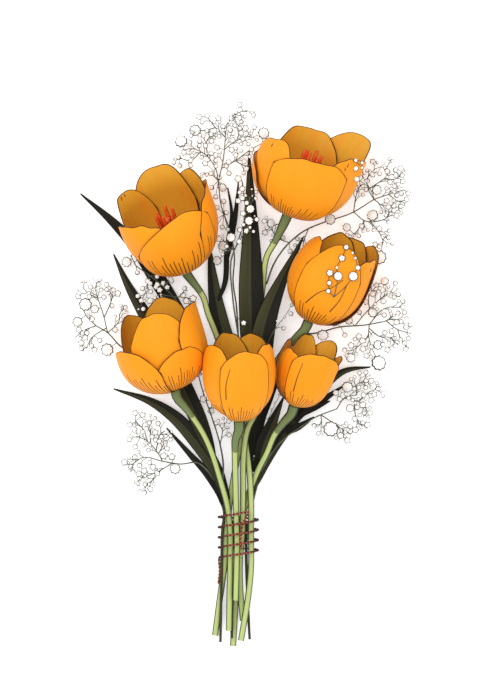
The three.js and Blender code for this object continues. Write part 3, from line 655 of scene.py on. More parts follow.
def resting(tree, x, y, height, floor=0):
    """The place this high over the faces that are uppermost at x and y, or over the floor."""
    hit = tree.ray_cast(in_frame((x, y, 0)) + Vector((0, 0, 0.2)), Vector((0, 0, -1)))[0]
    return Vector((x, y, (floor if hit is None else hit.z / MM - TO_ORIGIN.z) + height))


def settle(piece):
    """Presses the lowest part of a piece together, so that it rests on the surface."""
    lowest = min(vertex.co.z for vertex in piece.data.vertices) / MM
    if lowest < REST_GAP:
        share = (SETTLE_BELOW - REST_GAP) / (SETTLE_BELOW - lowest)
        for vertex in piece.data.vertices:
            if vertex.co.z < SETTLE_BELOW * MM:
                vertex.co.z = (SETTLE_BELOW - (SETTLE_BELOW - vertex.co.z / MM) * share) * MM


def close_seams(piece):
    """Merges the doubles along a seam and at a pole."""
    choose(piece)
    bpy.ops.object.mode_set(mode="EDIT")
    bpy.ops.mesh.select_all(action="SELECT")
    bpy.ops.mesh.remove_doubles(threshold=1e-6)
    bpy.ops.mesh.normals_make_consistent(inside=False)
    bpy.ops.object.mode_set(mode="OBJECT")


def smooth(piece, degrees=50):
    """Smooth shading, with edges sharper than this kept sharp."""
    choose(piece)
    bpy.ops.object.shade_smooth_by_angle(angle=math.radians(degrees))


def joined(name, pieces):
    """One piece of them all."""
    choose(pieces[0])
    for piece in pieces:
        piece.select_set(True)
    if len(pieces) > 1:
        bpy.ops.object.join()
    whole = bpy.context.object
    whole.name = whole.data.name = name
    return whole


def paint(piece, *materials):
    """Gives a piece its material slots, in order."""
    piece.data.materials.clear()
    for material in materials:
        piece.data.materials.append(material)


def stand_for(piece, node):
    """The piece rides on the bunch and stands for a solid, which is hidden."""
    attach(piece, "root")
    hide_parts(node)


# ---- The bloom's form ------------------------------------------------------------------------

RIM_WAVES = 2.6  # more makes a petal's rim wave more often
RIPPLES_ACROSS, RIPPLES_ALONG = 2.2, 2.5  # more makes its face ripple more often
MIDRIB_HALF_WIDTH = 0.07  # as a share of the petal's own


def bloom_frame(bloom):
    """The bloom's own frame in the layout: x across, y down to the surface, z along the cup."""
    lean, rise = math.radians(bloom["lean"]), math.radians(bloom["rise"])
    along = Vector((math.sin(lean) * math.cos(rise), math.cos(lean) * math.cos(rise), math.sin(rise)))
    across = Vector((math.cos(lean), -math.sin(lean), 0))
    down = along.cross(across)
    turn = Matrix((across, down, along)).transposed().to_4x4()
    return Matrix.Translation(bloom["base"]) @ turn


def cup_meridian(v, radius, height, widest, lean):
    """The cup's radius and height for v from 0, at the base, to 1, at the rim."""
    if v < 0.5:
        turn, power = max(v, 0) * math.pi, 2 / CUP_ROUNDNESS
        return radius * math.sin(turn) ** power, height * widest * (1 - math.cos(turn) ** power)
    past = (v - 0.5) * 2
    return radius * (1 + lean * past * past), height * (widest + (1 - widest) * past)


def meridian_reach(share, widest):
    """The meridian's v where it reaches this share of the cup's height."""
    if share < widest:
        return math.acos((1 - share / widest) ** (CUP_ROUNDNESS / 2)) / math.pi
    return 0.5 + 0.5 * (share - widest) / (1 - widest)


def rim_lean(close, azimuth):
    """How far the rim leans outwards at this azimuth, as a share of the cup's radius."""
    most, opposite, centre = close
    share = (0.5 + 0.5 * math.cos(azimuth - math.radians(centre))) ** 1.5
    return opposite + (most - opposite) * share


def petal_surface(bloom, petal, sizes, seed):
    """place(u, v) of one petal, from the cup's form, with a slight wave at its rim."""
    azimuth, half_span, reach, layer, skew, roundness = petal
    inset = layer * PETAL_LAYER_STEP
    turned = bloom_frame(bloom)

    def place(u, v):
        wave = sizes.rim_wave * noise.noise(Vector((u * RIM_WAVES, seed, 0.3)))
        share = reach * (1 - roundness * abs(u) ** PETAL_SHOULDER + skew * u + wave)
        tip = meridian_reach(share, bloom["widest"])
        waist = min(0.5, tip * PETAL_LOWER_LIMIT)
        if v < PETAL_LOWER_ROWS:
            along = PETAL_ROOT_AT + (waist - PETAL_ROOT_AT) * v / PETAL_LOWER_ROWS
        else:
            along = waist + (tip - waist) * (v - PETAL_LOWER_ROWS) / (1 - PETAL_LOWER_ROWS)
        turn = math.radians(azimuth + u * half_span)
        radius, rise = cup_meridian(
            along, bloom["radius"] - inset, bloom["height"] - inset, bloom["widest"],
            rim_lean(bloom["close"], turn))
        groove = sizes.midrib_groove * math.exp(-(u / MIDRIB_HALF_WIDTH) ** 2) * min(v * 3, 1)
        spot = Vector((u * RIPPLES_ACROSS, v * RIPPLES_ALONG, seed))
        radius += sizes.petal_ripple * noise.noise(spot) * v - groove
        return turned @ Vector((radius * math.sin(turn), -radius * math.cos(turn), rise + inset))

    return place


# ---- Finishes --------------------------------------------------------------------------------


def linear(red, green, blue):
    """A colour read as 0 to 255 by eye, for a socket."""

    def one(value):
        value /= 255
        return value / 12.92 if value <= 0.04045 else ((value + 0.055) / 1.055) ** 2.4

    return (one(red), one(green), one(blue), 1.0)


class Tree:
    """Adds nodes to a material or a group, and links them as it goes."""

    def __init__(self, tree):
        self.tree = tree

    def link(self, value, socket):
        """Links an output to a socket, or sets the socket to a plain value."""
        if isinstance(value, bpy.types.NodeSocket):
            self.tree.links.new(value, socket)
        else:
            socket.default_value = value

    def fed(self, kind, *values, **settings):
        """A new node of a kind, with its settings and its first inputs."""
        made = self.tree.nodes.new(kind)
        for key, value in settings.items():
            setattr(made, key, value)
        for value, socket in zip(values, made.inputs):
            self.link(value, socket)
        return made

    def math(self, operation, *values):
        return self.fed("ShaderNodeMath", *values, operation=operation).outputs[0]

    def times(self, first, second):
        return self.math("MULTIPLY", first, second)

    def ramp(self, value, low, high, start=0.0, end=1.0):
        """Smoothly from start, where value is low, to end, where it is high."""
        values = (value, low, high, start, end)
        return self.fed("ShaderNodeMapRange", *values, interpolation_type="SMOOTHSTEP").outputs[0]

    def mix(self, share, first, second):
        """The first colour where share is 0, and the second one where it is 1."""
        made = self.fed("ShaderNodeMix", data_type="RGBA")
        self.link(share, made.inputs["Factor"])
        self.link(first, made.inputs[6])
        self.link(second, made.inputs[7])
        return made.outputs[2]

    def vector(self, x, y, z=0.0):
        return self.fed("ShaderNodeCombineXYZ", x, y, z).outputs[0]

    def noise(self, place, scale, detail=2.0):
        made = self.fed("ShaderNodeTexNoise", place)
        made.inputs["Scale"].default_value = scale
        made.inputs["Detail"].default_value = detail
        return made.outputs["Fac"]

    def random(self, value):
        """A chance value from 0 to 1, the same for the same value."""
        made = self.fed("ShaderNodeTexWhiteNoise", noise_dimensions="1D")
        self.link(value, made.inputs["W"])
        return made.outputs["Value"]

    def uv(self):
        """Across and along the piece's own map."""
        place = self.fed("ShaderNodeTexCoord")
        split = self.fed("ShaderNodeSeparateXYZ", place.outputs["UV"])
        return split.outputs[0], split.outputs[1]

    def place(self):
        return self.fed("ShaderNodeTexCoord").outputs["Object"]

    def attribute(self, name):
        return self.fed("ShaderNodeAttribute", attribute_name=name).outputs["Fac"]

    def bump(self, height, strength, distance):
        """A normal that rises and falls with a height. The distance is in millimetres."""
        made = self.tree.nodes.new("ShaderNodeBump")
        made.inputs["Strength"].default_value = strength
        made.inputs["Distance"].default_value = distance * MM
        self.link(height, made.inputs["Height"])
        return made.outputs["Normal"]


def finish(name, roughness, coat=0.0, shine=0.5):
    """A new material, its tree and its shader. shine is the level of its plain reflection."""
    material = bpy.data.materials.new(name)
    material.use_nodes = True
    tree = Tree(material.node_tree)
    shader = material.node_tree.nodes["Principled BSDF"]
    shader.inputs["Roughness"].default_value = roughness
    shader.inputs["Coat Weight"].default_value = coat
    shader.inputs["Specular IOR Level"].default_value = shine
    return material, tree, shader


def group(name, inputs, outputs, build):
    """A node group with these sockets. build(tree, inputs) returns the outputs' values."""
    if name in bpy.data.node_groups:
        return bpy.data.node_groups[name]
    made = bpy.data.node_groups.new(name, "ShaderNodeTree")
    for socket, kind in inputs:
        made.interface.new_socket(socket, in_out="INPUT", socket_type=kind)
    for socket, kind in outputs:
        made.interface.new_socket(socket, in_out="OUTPUT", socket_type=kind)
    start, end = made.nodes.new("NodeGroupInput"), made.nodes.new("NodeGroupOutput")
    results = build(Tree(made), start.outputs)
    for value, socket in zip(results, end.inputs):
        made.links.new(value, socket)
    return made


def use(tree, made, *values):
    """Places a group in a tree, gives its inputs, and returns its outputs."""
    node = tree.tree.nodes.new("ShaderNodeGroup")
    node.node_tree = made
    for value, socket in zip(values, node.inputs):
        tree.link(value, socket)
    return list(node.outputs)


SHORTEST_STROKE = 0.65  # as a share of the longest
STROKE_FOOT, STROKE_TIP = 0.14, 0.11  # half widths, as shares of the room: the foot adds to the tip


def strokes_group():
    """Fine dark strokes that fan up from a petal's foot, each tapering to its own length."""

    def build(tree, inputs):
        count, longest = inputs[0], inputs[1]
        u, v = tree.uv()
        sway = tree.times(tree.noise(tree.vector(u, v), 5.0), 0.02)
        across = tree.times(tree.math("ADD", u, sway), count)
        off = tree.math("ABSOLUTE", tree.math("SUBTRACT", tree.math("FRACT", across), 0.5))
        chance = tree.random(tree.math("FLOOR", across))
        share = tree.math("MULTIPLY_ADD", chance, 1 - SHORTEST_STROKE, SHORTEST_STROKE)
        left = tree.math("SUBTRACT", 1.0, tree.math("DIVIDE", v, tree.times(longest, share)))
        foot = tree.times(tree.math("MAXIMUM", left, 0.0), STROKE_FOOT)
        tip = tree.times(tree.math("GREATER_THAN", left, 0.0), STROKE_TIP)
        width = tree.math("ADD", foot, tip)
        return [tree.ramp(off, tree.times(width, 0.75), width, 1.0, 0.0)]

    sockets = [("Count", "NodeSocketFloat"), ("Longest", "NodeSocketFloat")]
    return group("Petal foot strokes", sockets, [("Stroke", "NodeSocketFloat")], build)


def veins_group():
    """Fine veins along a blade: 0 between them, 1 on them, and a slow change of shade."""

    def build(tree, inputs):
        u, v = tree.uv()
        fine = tree.noise(tree.vector(tree.times(u, inputs[0]), tree.times(v, 1.5)), 1.0, 3.0)
        slow = tree.noise(tree.vector(tree.times(u, 2.0), v, 0.4), 2.2, 1.0)
        return [tree.ramp(fine, 0.4, 0.7), slow]

    sockets = [("Vein", "NodeSocketFloat"), ("Shade", "NodeSocketFloat")]
    return group("Blade veins", [("Count", "NodeSocketFloat")], sockets, build)


def streaks_group():
    """Fine streaks along a round piece, from 0 to 1."""

    def build(tree, inputs):
        around, along = tree.uv()
        place = tree.vector(tree.times(around, inputs[0]), tree.times(along, inputs[1]))
        return [tree.noise(place, 1.0, 3.0)]

    sockets = [("Around", "NodeSocketFloat"), ("Along", "NodeSocketFloat")]
    return group("Streaks", sockets, [("Streak", "NodeSocketFloat")], build)


PETAL_VEINS = 46.0  # from side to side
LEAF_VEINS = 60.0


def petal_finish(name, base, dark, light, stroke_share=None):
    """A petal's face, with veins, strokes at the foot and a drawn line along its margin."""
    look = bpy.context.scene.tulip_bunch
    material, tree, shader = finish(name, look.petal_roughness, shine=0.15)
    longest = tree.attribute("stroke_share") if stroke_share is None else stroke_share
    strokes, = use(tree, strokes_group(), tree.attribute("stroke_count"), longest)
    vein, shade = use(tree, veins_group(), PETAL_VEINS)
    body = tree.mix(tree.times(vein, 0.16), base, dark)
    body = tree.mix(tree.ramp(shade, 0.35, 0.75, 0.0, 0.3), body, light)
    wobble = tree.times(tree.noise(tree.place(), 260.0), 0.35)
    full, faded = (tree.math("ADD", wobble, look.margin_line * share) for share in (0.6, 1))
    line = tree.ramp(tree.attribute("edge_mm"), full, faded, 1.0, 0.0)
    ink = tree.math("MAXIMUM", strokes, line)
    tree.link(tree.mix(ink, body, tuple(look.ink_colour)), shader.inputs["Base Color"])
    tree.link(tree.bump(tree.math("SUBTRACT", 1.0, vein), 0.25, 0.25), shader.inputs["Normal"])
    return material


def plain_finish(name, colour, roughness, coat=0.0, other=None, scale=300.0):
    """One colour, that drifts slightly towards another one over the piece."""
    material, tree, shader = finish(name, roughness, coat)
    if other is None:
        shader.inputs["Base Color"].default_value = colour
    else:
        drift = tree.ramp(tree.noise(tree.place(), scale), 0.35, 0.65)
        tree.link(tree.mix(drift, colour, other), shader.inputs["Base Color"])
    return material


# ---- What a user would change ----------------------------------------------------------------


def colour_of(name, description, red, green, blue):
    """A colour, read as 0 to 255 by eye."""
    return bpy.props.FloatVectorProperty(
        name=name, description=description, subtype="COLOR", size=4, min=0, max=1,
        default=linear(red, green, blue))


def size_of(name, description, default):
    """A length in millimetres."""
    return bpy.props.FloatProperty(
        name=name, description=description + ", in millimetres", default=default, min=0)


def share_of(name, description, default):
    """A share, from 0 to 1."""
    return bpy.props.FloatProperty(
        name=name, description=description, default=default, min=0, max=1, subtype="FACTOR")


class TulipBunch(bpy.types.PropertyGroup):
    """Sizes and colours of the bunch."""

    petal_thickness: size_of("Petal Thickness", "Thickness of a petal", 0.7)
    midrib_groove: size_of("Midrib Groove", "Depth of the groove along a petal's middle", 0.35)
    petal_ripple: size_of("Petal Ripple", "Rise and fall of a petal's face", 0.5)
    rim_wave: share_of("Rim Wave", "Rise and fall of a petal's rim, as a share of the cup", 0.035)
    margin_line: size_of("Margin Line", "Width of the dark line along a margin", 0.45)
    petal_roughness: share_of("Petal Roughness", "Roughness of a petal's face", 0.55)
    petal_colour: colour_of("Petal", "Outer face of a petal", 242, 149, 22)
    petal_light: colour_of("Petal Highlight", "Lighter parts of a petal's outer face", 246, 158, 32)
    petal_vein: colour_of("Petal Vein", "Veins on a petal's outer face", 234, 134, 18)
    # The inner face's colours are darker than the outer face's: painted shade of the cup's inside.
    inner_shaded_colour: colour_of("Petal Inside", "Inner face of a petal", 218, 158, 46)
    inner_shaded_vein: colour_of("Inner Vein", "Veins on a petal's inner face", 196, 132, 34)
    # On the folds this dark colour is painted shade of the creases.
    ink_colour: colour_of("Dark Line", "Dark lines on margins and folds", 52, 32, 14)
    stamen_colour: colour_of("Stamen", "Stamens and pistil", 250, 112, 44)
    stem_colour: colour_of("Stem", "Upper side of a stem", 180, 195, 122)
    # The neck's darker green is painted shade under the bloom; the receptacle takes it too.
    neck_shade_colour: colour_of("Stem Neck", "Stem just under a bloom", 108, 124, 76)
    leaf_olive: colour_of("Leaf Olive", "Lighter half of a leaf", 54, 55, 34)
    # A leaf's darker half is painted shade of its fold.
    leaf_shade_colour: colour_of("Leaf Dark", "Darker half of a leaf", 22, 22, 15)
    floret_colour: colour_of("Floret", "Baby's-breath florets and buds", 250, 250, 246)
    floret_margin: colour_of("Floret Margin", "Dark margins of florets and buds", 44, 44, 42)
    twig_colour: colour_of("Twig", "Baby's-breath twigs and calyxes", 66, 68, 60)
    cord_colour: colour_of("Cord", "The cord of the tie", 168, 72, 52)


# ---- The stage -------------------------------------------------------------------------------

FLOOR_SIZE = 12.0  # metres
FLOOR_DROP = 0.3  # millimetres below the bunch, so that no two faces share a plane
FLOOR_GLOW = 0.4  # a light table, that keeps its shadows pale
WORLD_LIGHT = 0.85
LAMP_SIZE = 1.6  # metres
LAMPS = {"Key light": [(-0.7, 0.6, 2.2), 24], "Fill light": [(0.8, -0.5, 2.2), 10]}  # metres, watts
CAMERA_LENS, CAMERA_SENSOR = 300.0, 36.0
PHOTO_HEIGHT_PX = 700
PHOTO_MIDDLE_PX = (247.5, 350)  # the photograph's middle, in its own pixels
LAYOUT_MIDDLE_PX = (241, 375)  # the pixel that the layout's middle stands on
MM_PER_PX = 0.75
AIM_HEIGHT = 20  # millimetres above the surface, at the bunch's mean height


class TULIPS_OT_stage(bpy.types.Operator):
    """Adds the pale floor, the soft lights and the camera that looks down on the bunch"""

    bl_idname = "tulips.stage"
    bl_label = "Floor, Lights and Camera"

    def execute(self, context):
        bpy.ops.object.select_all(action="DESELECT")
        bpy.ops.mesh.primitive_plane_add(size=FLOOR_SIZE, location=(0, 0, -FLOOR_DROP * MM))
        floor = context.object
        floor.name = "Floor"
        pale, _, shader = finish("Pale floor", 0.9)
        shader.inputs["Base Color"].default_value = (0.9, 0.9, 0.9, 1)
        shader.inputs["Emission Color"].default_value = (1, 1, 1, 1)
        shader.inputs["Emission Strength"].default_value = FLOOR_GLOW
        paint(floor, pale)

        world = context.scene.world or bpy.data.worlds.new("Studio")
        context.scene.world = world
        context.scene.view_settings.view_transform = "Standard"
        world.use_nodes = True
        sky = world.node_tree.nodes["Background"]
        sky.inputs["Color"].default_value = (1, 1, 1, 1)
        sky.inputs["Strength"].default_value = WORLD_LIGHT

        for name, (place, power) in LAMPS.items():
            bpy.ops.object.light_add(type="AREA", location=place)
            lamp = context.object
            lamp.name = name
            lamp.data.size = LAMP_SIZE
            lamp.data.energy = power
            lamp.rotation_euler = Vector(place).to_track_quat("Z", "Y").to_euler()

        right = (PHOTO_MIDDLE_PX[0] - LAYOUT_MIDDLE_PX[0]) * MM_PER_PX
        up = (LAYOUT_MIDDLE_PX[1] - PHOTO_MIDDLE_PX[1]) * MM_PER_PX
        distance = PHOTO_HEIGHT_PX * MM_PER_PX * MM * CAMERA_LENS / CAMERA_SENSOR
        above = in_frame((right, up, AIM_HEIGHT)) + Vector((0, 0, distance))
        bpy.ops.object.camera_add(location=above, rotation=(0, 0, 0))
        camera = context.object
        camera.data.lens = CAMERA_LENS
        camera.data.sensor_width = CAMERA_SENSOR
        camera.data.clip_end = 50
        context.scene.camera = camera
        return {"FINISHED"}


# ---- Blooms ----------------------------------------------------------------------------------

PETAL_ACROSS, PETAL_ALONG = 26, 32
STAMEN_COUNT = 6
# The fine dark strokes at a petal's foot: [their reach as a share of its length, how many].
FOOT_STROKES = {"bloom_1": [0.56, 21], "bloom_2": [0.4, 23], "bloom_3": [0.54, 15]}
FOOT_STROKES_ELSE = [0.41, 15]
INSIDE_STROKES = 0.02  # their reach on the inner face, where they are hidden
FOLD_PLACES = 12  # steps at which a fold follows its petal
FOLD_HEIGHT = 0.1  # of its middle over the petal

STAMEN_SHADE = linear(226, 82, 26)
STAMEN_LINE = linear(96, 26, 12)


class TULIPS_OT_blooms(bpy.types.Operator):
    """Adds the six blooms, each of its petals round a receptacle"""

    bl_idname = "tulips.blooms"
    bl_label = "Blooms"

    def execute(self, context):
        look = context.scene.tulip_bunch
        outside = petal_finish(
            "Petal outside", tuple(look.petal_colour), tuple(look.petal_vein), tuple(look.petal_light))
        # The inner face is darker with painted shade of the cup's inside.
        inside = petal_finish(
            "Petal inside", tuple(look.inner_shaded_colour), tuple(look.inner_shaded_vein), tuple(look.petal_vein),
            INSIDE_STROKES)
        rim = plain_finish("Petal rim", tuple(look.ink_colour), 0.6)
        # The receptacle takes the neck's darker green, which is painted shade.
        green = plain_finish("Receptacle", tuple(look.neck_shade_colour), 0.6)
        finishes = (outside, inside, rim)
        for name, bloom in BLOOMS.items():
            petals = [self.petal(name, i, finishes, look) for i in range(len(bloom["petals"]))]
            cup = joined(f"tulip_{name[-1]}_petals", petals + [self.receptacle(bloom, green)])
            settle(cup)
            folds = [self.fold(cup, flat, rim) for flat in FOLDS.get(name, [])]
            stand_for(joined(cup.name, [cup] + folds), name)
        return {"FINISHED"}

    @staticmethod
    def petal(name, i, finishes, look):
        """One petal of a bloom, with its drawn margin and its strokes."""
        bloom = BLOOMS[name]
        place = petal_surface(bloom, bloom["petals"][i], look, seed=i * 3.1 + bloom["height"])
        blade = grid_piece(f"{name} petal", PETAL_ACROSS, PETAL_ALONG, place)
        mark_edge(blade)
        reach, count = FOOT_STROKES.get(name, FOOT_STROKES_ELSE)
        store(blade, "stroke_share", [reach] * len(blade.data.vertices))
        store(blade, "stroke_count", [count] * len(blade.data.vertices))
        paint(blade, *finishes)
        thicken(blade, look.petal_thickness)
        smooth(blade)
        return blade

    @staticmethod
    def fold(cup, flat, finish):
        """A fine dark ridge, painted shade of a crease, that lies on a bloom along this line, as seen
        from above.
        """
        petals = tree_of([cup])
        line = Route([(x, y, 0) for x, y in pairs(flat)])
        places = [resting(petals, spot.x, spot.y, FOLD_HEIGHT) for spot in line.places(FOLD_PLACES)]
        if max(abs(b.z - a.z) for a, b in zip(places, places[1:])) > FOLD_STEP:
            raise RuntimeError(f"A fold leaves its petal: {cup.name}")
        ridge = tube_piece("Fold", Route(places), lambda share: FOLD_RADIUS * (1 - 0.5 * share), 6, 14)
        paint(ridge, finish)
        return ridge

    @staticmethod
    def receptacle(bloom, finish):
        """The round seat that the petals grow from, as [radius, height] from its foot to its top."""
        frame_of = bloom_frame(bloom)
        top = RECEPTACLE_TOP
        profile = ((0, -1), (0.8, -1), (1, 1), (1, top - 1.5), (0.6, top - 0.4), (0, top))

        def place(u, v):
            share, height = profile[round(v * (len(profile) - 1))]
            turn, radius = u * math.pi, share * RECEPTACLE_RADIUS
            return frame_of @ Vector((radius * math.cos(turn), radius * math.sin(turn), height))

        seat = grid_piece("Receptacle", 16, len(profile) - 1, place)
        close_seams(seat)
        smooth(seat)
        paint(seat, finish)
        return seat


class TULIPS_OT_stamens(bpy.types.Operator):
    """Adds the stamens and the pistil that stand in each bloom"""

    bl_idname = "tulips.stamens"
    bl_label = "Stamens"

    def execute(self, context):
        orange = self.stamen_finish(context.scene.tulip_bunch)
        for name, bloom in BLOOMS.items():
            frame_of = bloom_frame(bloom)
            floor, top = RECEPTACLE_TOP + SEAT_GAP, bloom["height"] * bloom["stamens"]
            line = Route([frame_of @ Vector((0, 0, z)) for z in (floor, top * 0.4, top * 0.84)])
            parts = [tube_piece("Pistil", line, self.pistil_girth, 10, 16, top=(1, 0, 0))]
            for i in range(STAMEN_COUNT):
                turn = (i + 0.3) * 2 * math.pi / STAMEN_COUNT
                out = Vector((math.sin(turn), math.cos(turn), 0))
                reach = ((2, floor + 1), (4.6, top * 0.5), (7, top - i % 3))
                line = Route([frame_of @ (out * far + Vector((0, 0, z))) for far, z in reach])
                parts.append(tube_piece("Stamen", line, self.stamen_girth, 8, 24, top=(1, 0, 0)))
            for part in parts:
                paint(part, orange)
                smooth(part, 70)
            stand_for(joined(f"tulip_{name[-1]}_stamens", parts), f"{name}_stamens")
        return {"FINISHED"}

    @staticmethod
    def stamen_finish(look):
        """Bright orange, with a dark line along each side."""
        material, tree, shader = finish("Stamen", 0.6, shine=0.2)
        around, _ = tree.uv()
        half = tree.math("PINGPONG", around, 0.25)
        line = tree.ramp(half, 0.05, 0.075, 1.0, 0.0)
        grain = tree.ramp(tree.noise(tree.place(), 500.0), 0.35, 0.65)
        body = tree.mix(grain, tuple(look.stamen_colour), STAMEN_SHADE)
        tree.link(tree.mix(line, body, STAMEN_LINE), shader.inputs["Base Color"])
        return material

    @staticmethod
    def pistil_girth(share):
        """A pistil, slimmer at its middle and wide again at its lobed top."""
        return 3 - 1.4 * math.sin(math.pi * min(share * 1.15, 1))

    @staticmethod
    def stamen_girth(share):
        """A filament with a long, round-ended anther."""
        if share < 0.5:
            return 0.9 - 0.2 * share
        swell = math.sin(math.pi * (share - 0.5) / 0.5) ** 0.5
        return 0.8 + 0.75 * swell * (1 if share < 0.98 else 0.5)


# ---- Stems -----------------------------------------------------------------------------------

STEM_SIDES, STEM_STEPS = 16, 70
NECK_LENGTH = 25  # of the part under the bloom that is darkened with painted shade
NECK_DIP = 1.6  # how far its lower border rises and falls round the stem

STEM_STREAK = linear(166, 182, 108)
# Painted shade of a stem's sides and underside, then its darkest shade further round, which from above
# reads as a dark line at its edges.
STEM_UNDERSIDE_SHADE = linear(146, 160, 96)
STEM_EDGE_SHADE = linear(48, 54, 32)
CUT_END = linear(214, 222, 170)
CUT_END_SHADE = linear(180, 196, 120)


def stem_finish(look):
    """Pale green, with fine lengthwise streaks, and with painted shade on its sides and underside and
    under the bloom.
    """
    material, tree, shader = finish("Stem", 0.55, shine=0.25)
    side = tree.math("ABSOLUTE", tree.math("SUBTRACT", tree.uv()[0], 0.5))
    streak, = use(tree, streaks_group(), 26.0, 9.0)
    body = tree.mix(tree.ramp(streak, 0.35, 0.7, 0.0, 0.45), tuple(look.stem_colour), STEM_STREAK)
    # Painted shade on the sides and underside, away from the top.
    body = tree.mix(tree.ramp(side, 0.08, 0.13), body, STEM_UNDERSIDE_SHADE)
    dip = tree.math("COSINE", tree.times(side, 9.0))
    reach = tree.math("MULTIPLY_ADD", dip, NECK_DIP, NECK_LENGTH - NECK_DIP)
    # Painted shade under the bloom: down to a wavy border, the stem takes the darker neck colour.
    down = tree.attribute("from_bloom_mm")
    neck = tree.ramp(down, tree.math("SUBTRACT", reach, 0.7), reach, 1.0, 0.0)
    body = tree.mix(neck, body, tuple(look.neck_shade_colour))
    # Darkest painted shade further round the sides and underside; from above it reads as a dark line at
    # the edges.
    body = tree.mix(tree.ramp(side, 0.125, 0.145), body, STEM_EDGE_SHADE)
    tree.link(body, shader.inputs["Base Color"])
    tree.link(tree.bump(streak, 0.2, 0.3), shader.inputs["Normal"])
    return material


class TULIPS_OT_stems(bpy.types.Operator):
    """Adds the six stems, from the blooms through the tie to their cut ends"""

    bl_idname = "tulips.stems"
    bl_label = "Stems"

    def execute(self, context):
        skin = stem_finish(context.scene.tulip_bunch)
        cut = plain_finish("Cut end", CUT_END, 0.7, other=CUT_END_SHADE, scale=900)
        for name, points in STEMS.items():
            frame_of = bloom_frame(BLOOMS[name.replace("stem", "bloom")])
            top = [frame_of @ Vector((0, 0, z)) for z in (-1 - SEAT_GAP, -NECK_STRAIGHT)]
            route = Route(top + points)
            stem = tube_piece(
                name + "_skin", route, lambda share: self.girth(share * route.length, route.length),
                STEM_SIDES, STEM_STEPS)
            start = in_frame(top[0])
            store(stem, "from_bloom_mm", [(v.co - start).length / MM for v in stem.data.vertices])
            paint(stem, skin, cut)
            end = in_frame(points[-1])
            for face in stem.data.polygons:
                if (face.center - end).length < STEM_RADIUS * MM * 0.95:
                    face.material_index = 1
            smooth(stem, 60)
            stand_for(stem, name)
        return {"FINISHED"}

    @staticmethod
    def girth(down, whole):
        """A stem's radius: swollen under the bloom, and a little uneven on the way."""
        swell = 1.7 * math.exp(-(down / 17) ** 2)
        uneven = 0.12 * noise.noise(Vector((down / 26, whole, 0)))
        return STEM_RADIUS * 0.97 + swell + uneven


# ---- Leaves ----------------------------------------------------------------------------------

LEAF_THICKNESS = 0.8
LEAF_ACROSS, LEAF_ALONG = 16, 60
# Which half of a leaf is darkened with painted shade, seen from above with the tip up, or both.
LEAF_SHADED_HALF = {
    "leaf_1": "both", "leaf_2": "right", "leaf_3": "left", "leaf_4": "right", "leaf_5": "right",
    "leaf_6": "right", "leaf_7": "both", "leaf_8": "left", "leaf_9": "both", "leaf_10": "left",
}

# Small blades, both halves darkened with painted shade, that grow beside a leaf: (leaf, width, route).
SIDE_BLADES = [
    ("leaf_8", 7, [[41, -34.5, 7], [47, -27, 8], [61, -19, 8], [78, -7.5, 6]]),
    ("leaf_8", 4.5, [[44, -31, 9.5], [50, -27, 10], [58, -23.5, 10], [67, -19.5, 9]]),
    ("leaf_8", 5, [[34, -43.5, 8], [40, -40.5, 8.5], [46.5, -37, 8.5], [55, -31.5, 7.5]]),
    ("leaf_3", 3.6, [[-17, 56, 6.5], [-12, 70, 6.5], [-10.5, 94, 6], [-7, 120, 5], [-10, 141, 4]]),
    ("leaf_3", 4.2, [[-11, 85, 8], [-8, 101, 8], [-4, 122, 7], [-2, 145, 5]]),
]
# Stalks of leaves that run on into the tie, most of them to a cut end: (leaf, route).
LEAF_STALKS = [
    ("leaf_7", [
        [-14, -97.5, 9.2], [-12.5, -103, 9.6], [-14, -118, 15.3], [-14.5, -139, 14.2], [-15, -169, 9.5],
        [-15.5, -201, 5],
    ]),
    ("leaf_9", [
        [-6, -109.5, 9.6], [-6.5, -127.5, 9.4], [-7, -146, 8.6], [-7, -169, 7.2], [-7, -198, 5.4],
    ]),
    ("leaf_10", [[4, -109.5, 10.8], [4, -139, 9.8], [5, -169, 7.4], [6.5, -199, 5.2]]),
    ("leaf_8", [[12.5, -79.5, 6], [9.5, -91, 6.6], [7, -104, 7.6], [5.5, -120, 8.4]]),
]
LEAF_STALK_RADIUS = 1.15
LEAF_WAVE = 0.35  # rise and fall of a leaf's edges
LEAF_WAVES = 7  # more makes them wave more often

LEAF_OLIVE_VEIN = linear(78, 80, 52)
# Veins on the half darkened by painted shade.
LEAF_SHADE_VEIN = linear(38, 38, 28)
LEAF_MARGIN = linear(18, 18, 13)


def leaf_surface(leaf, seed):
    """place(u, v) of a leaf, folded along its midrib."""
    route = Route(leaf["route"])

    def place(u, v):
        heading = route.heading(v)
        side = Vector((heading.y, -heading.x, 0)).normalized()
        swell = math.sin(math.pi * v ** LEAF_WIDEST_POWER) * (1 - LEAF_FOOT) + LEAF_FOOT * (1 - v)
        reach = LEAF_TIP_HALF_WIDTH + leaf["width"] / 2 * swell
        rise = leaf["fold"] * reach * abs(u) ** LEAF_CURL
        wave = LEAF_WAVE * noise.noise(Vector((v * LEAF_WAVES, seed, u))) * u * u * swell
        return route.at(v) + side * (u * reach) + Vector((0, 0, rise + wave))

    return place


def leaf_finish(name, base, other):
    """A leaf's face, with fine parallel veins and a thin dark margin."""
    material, tree, shader = finish(name, 0.6, shine=0.15)
    vein, shade = use(tree, veins_group(), LEAF_VEINS)
    body = tree.mix(tree.times(vein, 0.5), base, other)
    body = tree.mix(tree.ramp(shade, 0.3, 0.8, 0.0, 0.35), body, other)
    line = tree.ramp(tree.attribute("edge_mm"), 0.3, 0.55, 1.0, 0.0)
    tree.link(tree.mix(line, body, LEAF_MARGIN), shader.inputs["Base Color"])
    tree.link(tree.bump(vein, 0.3, 0.3), shader.inputs["Normal"])
    return material


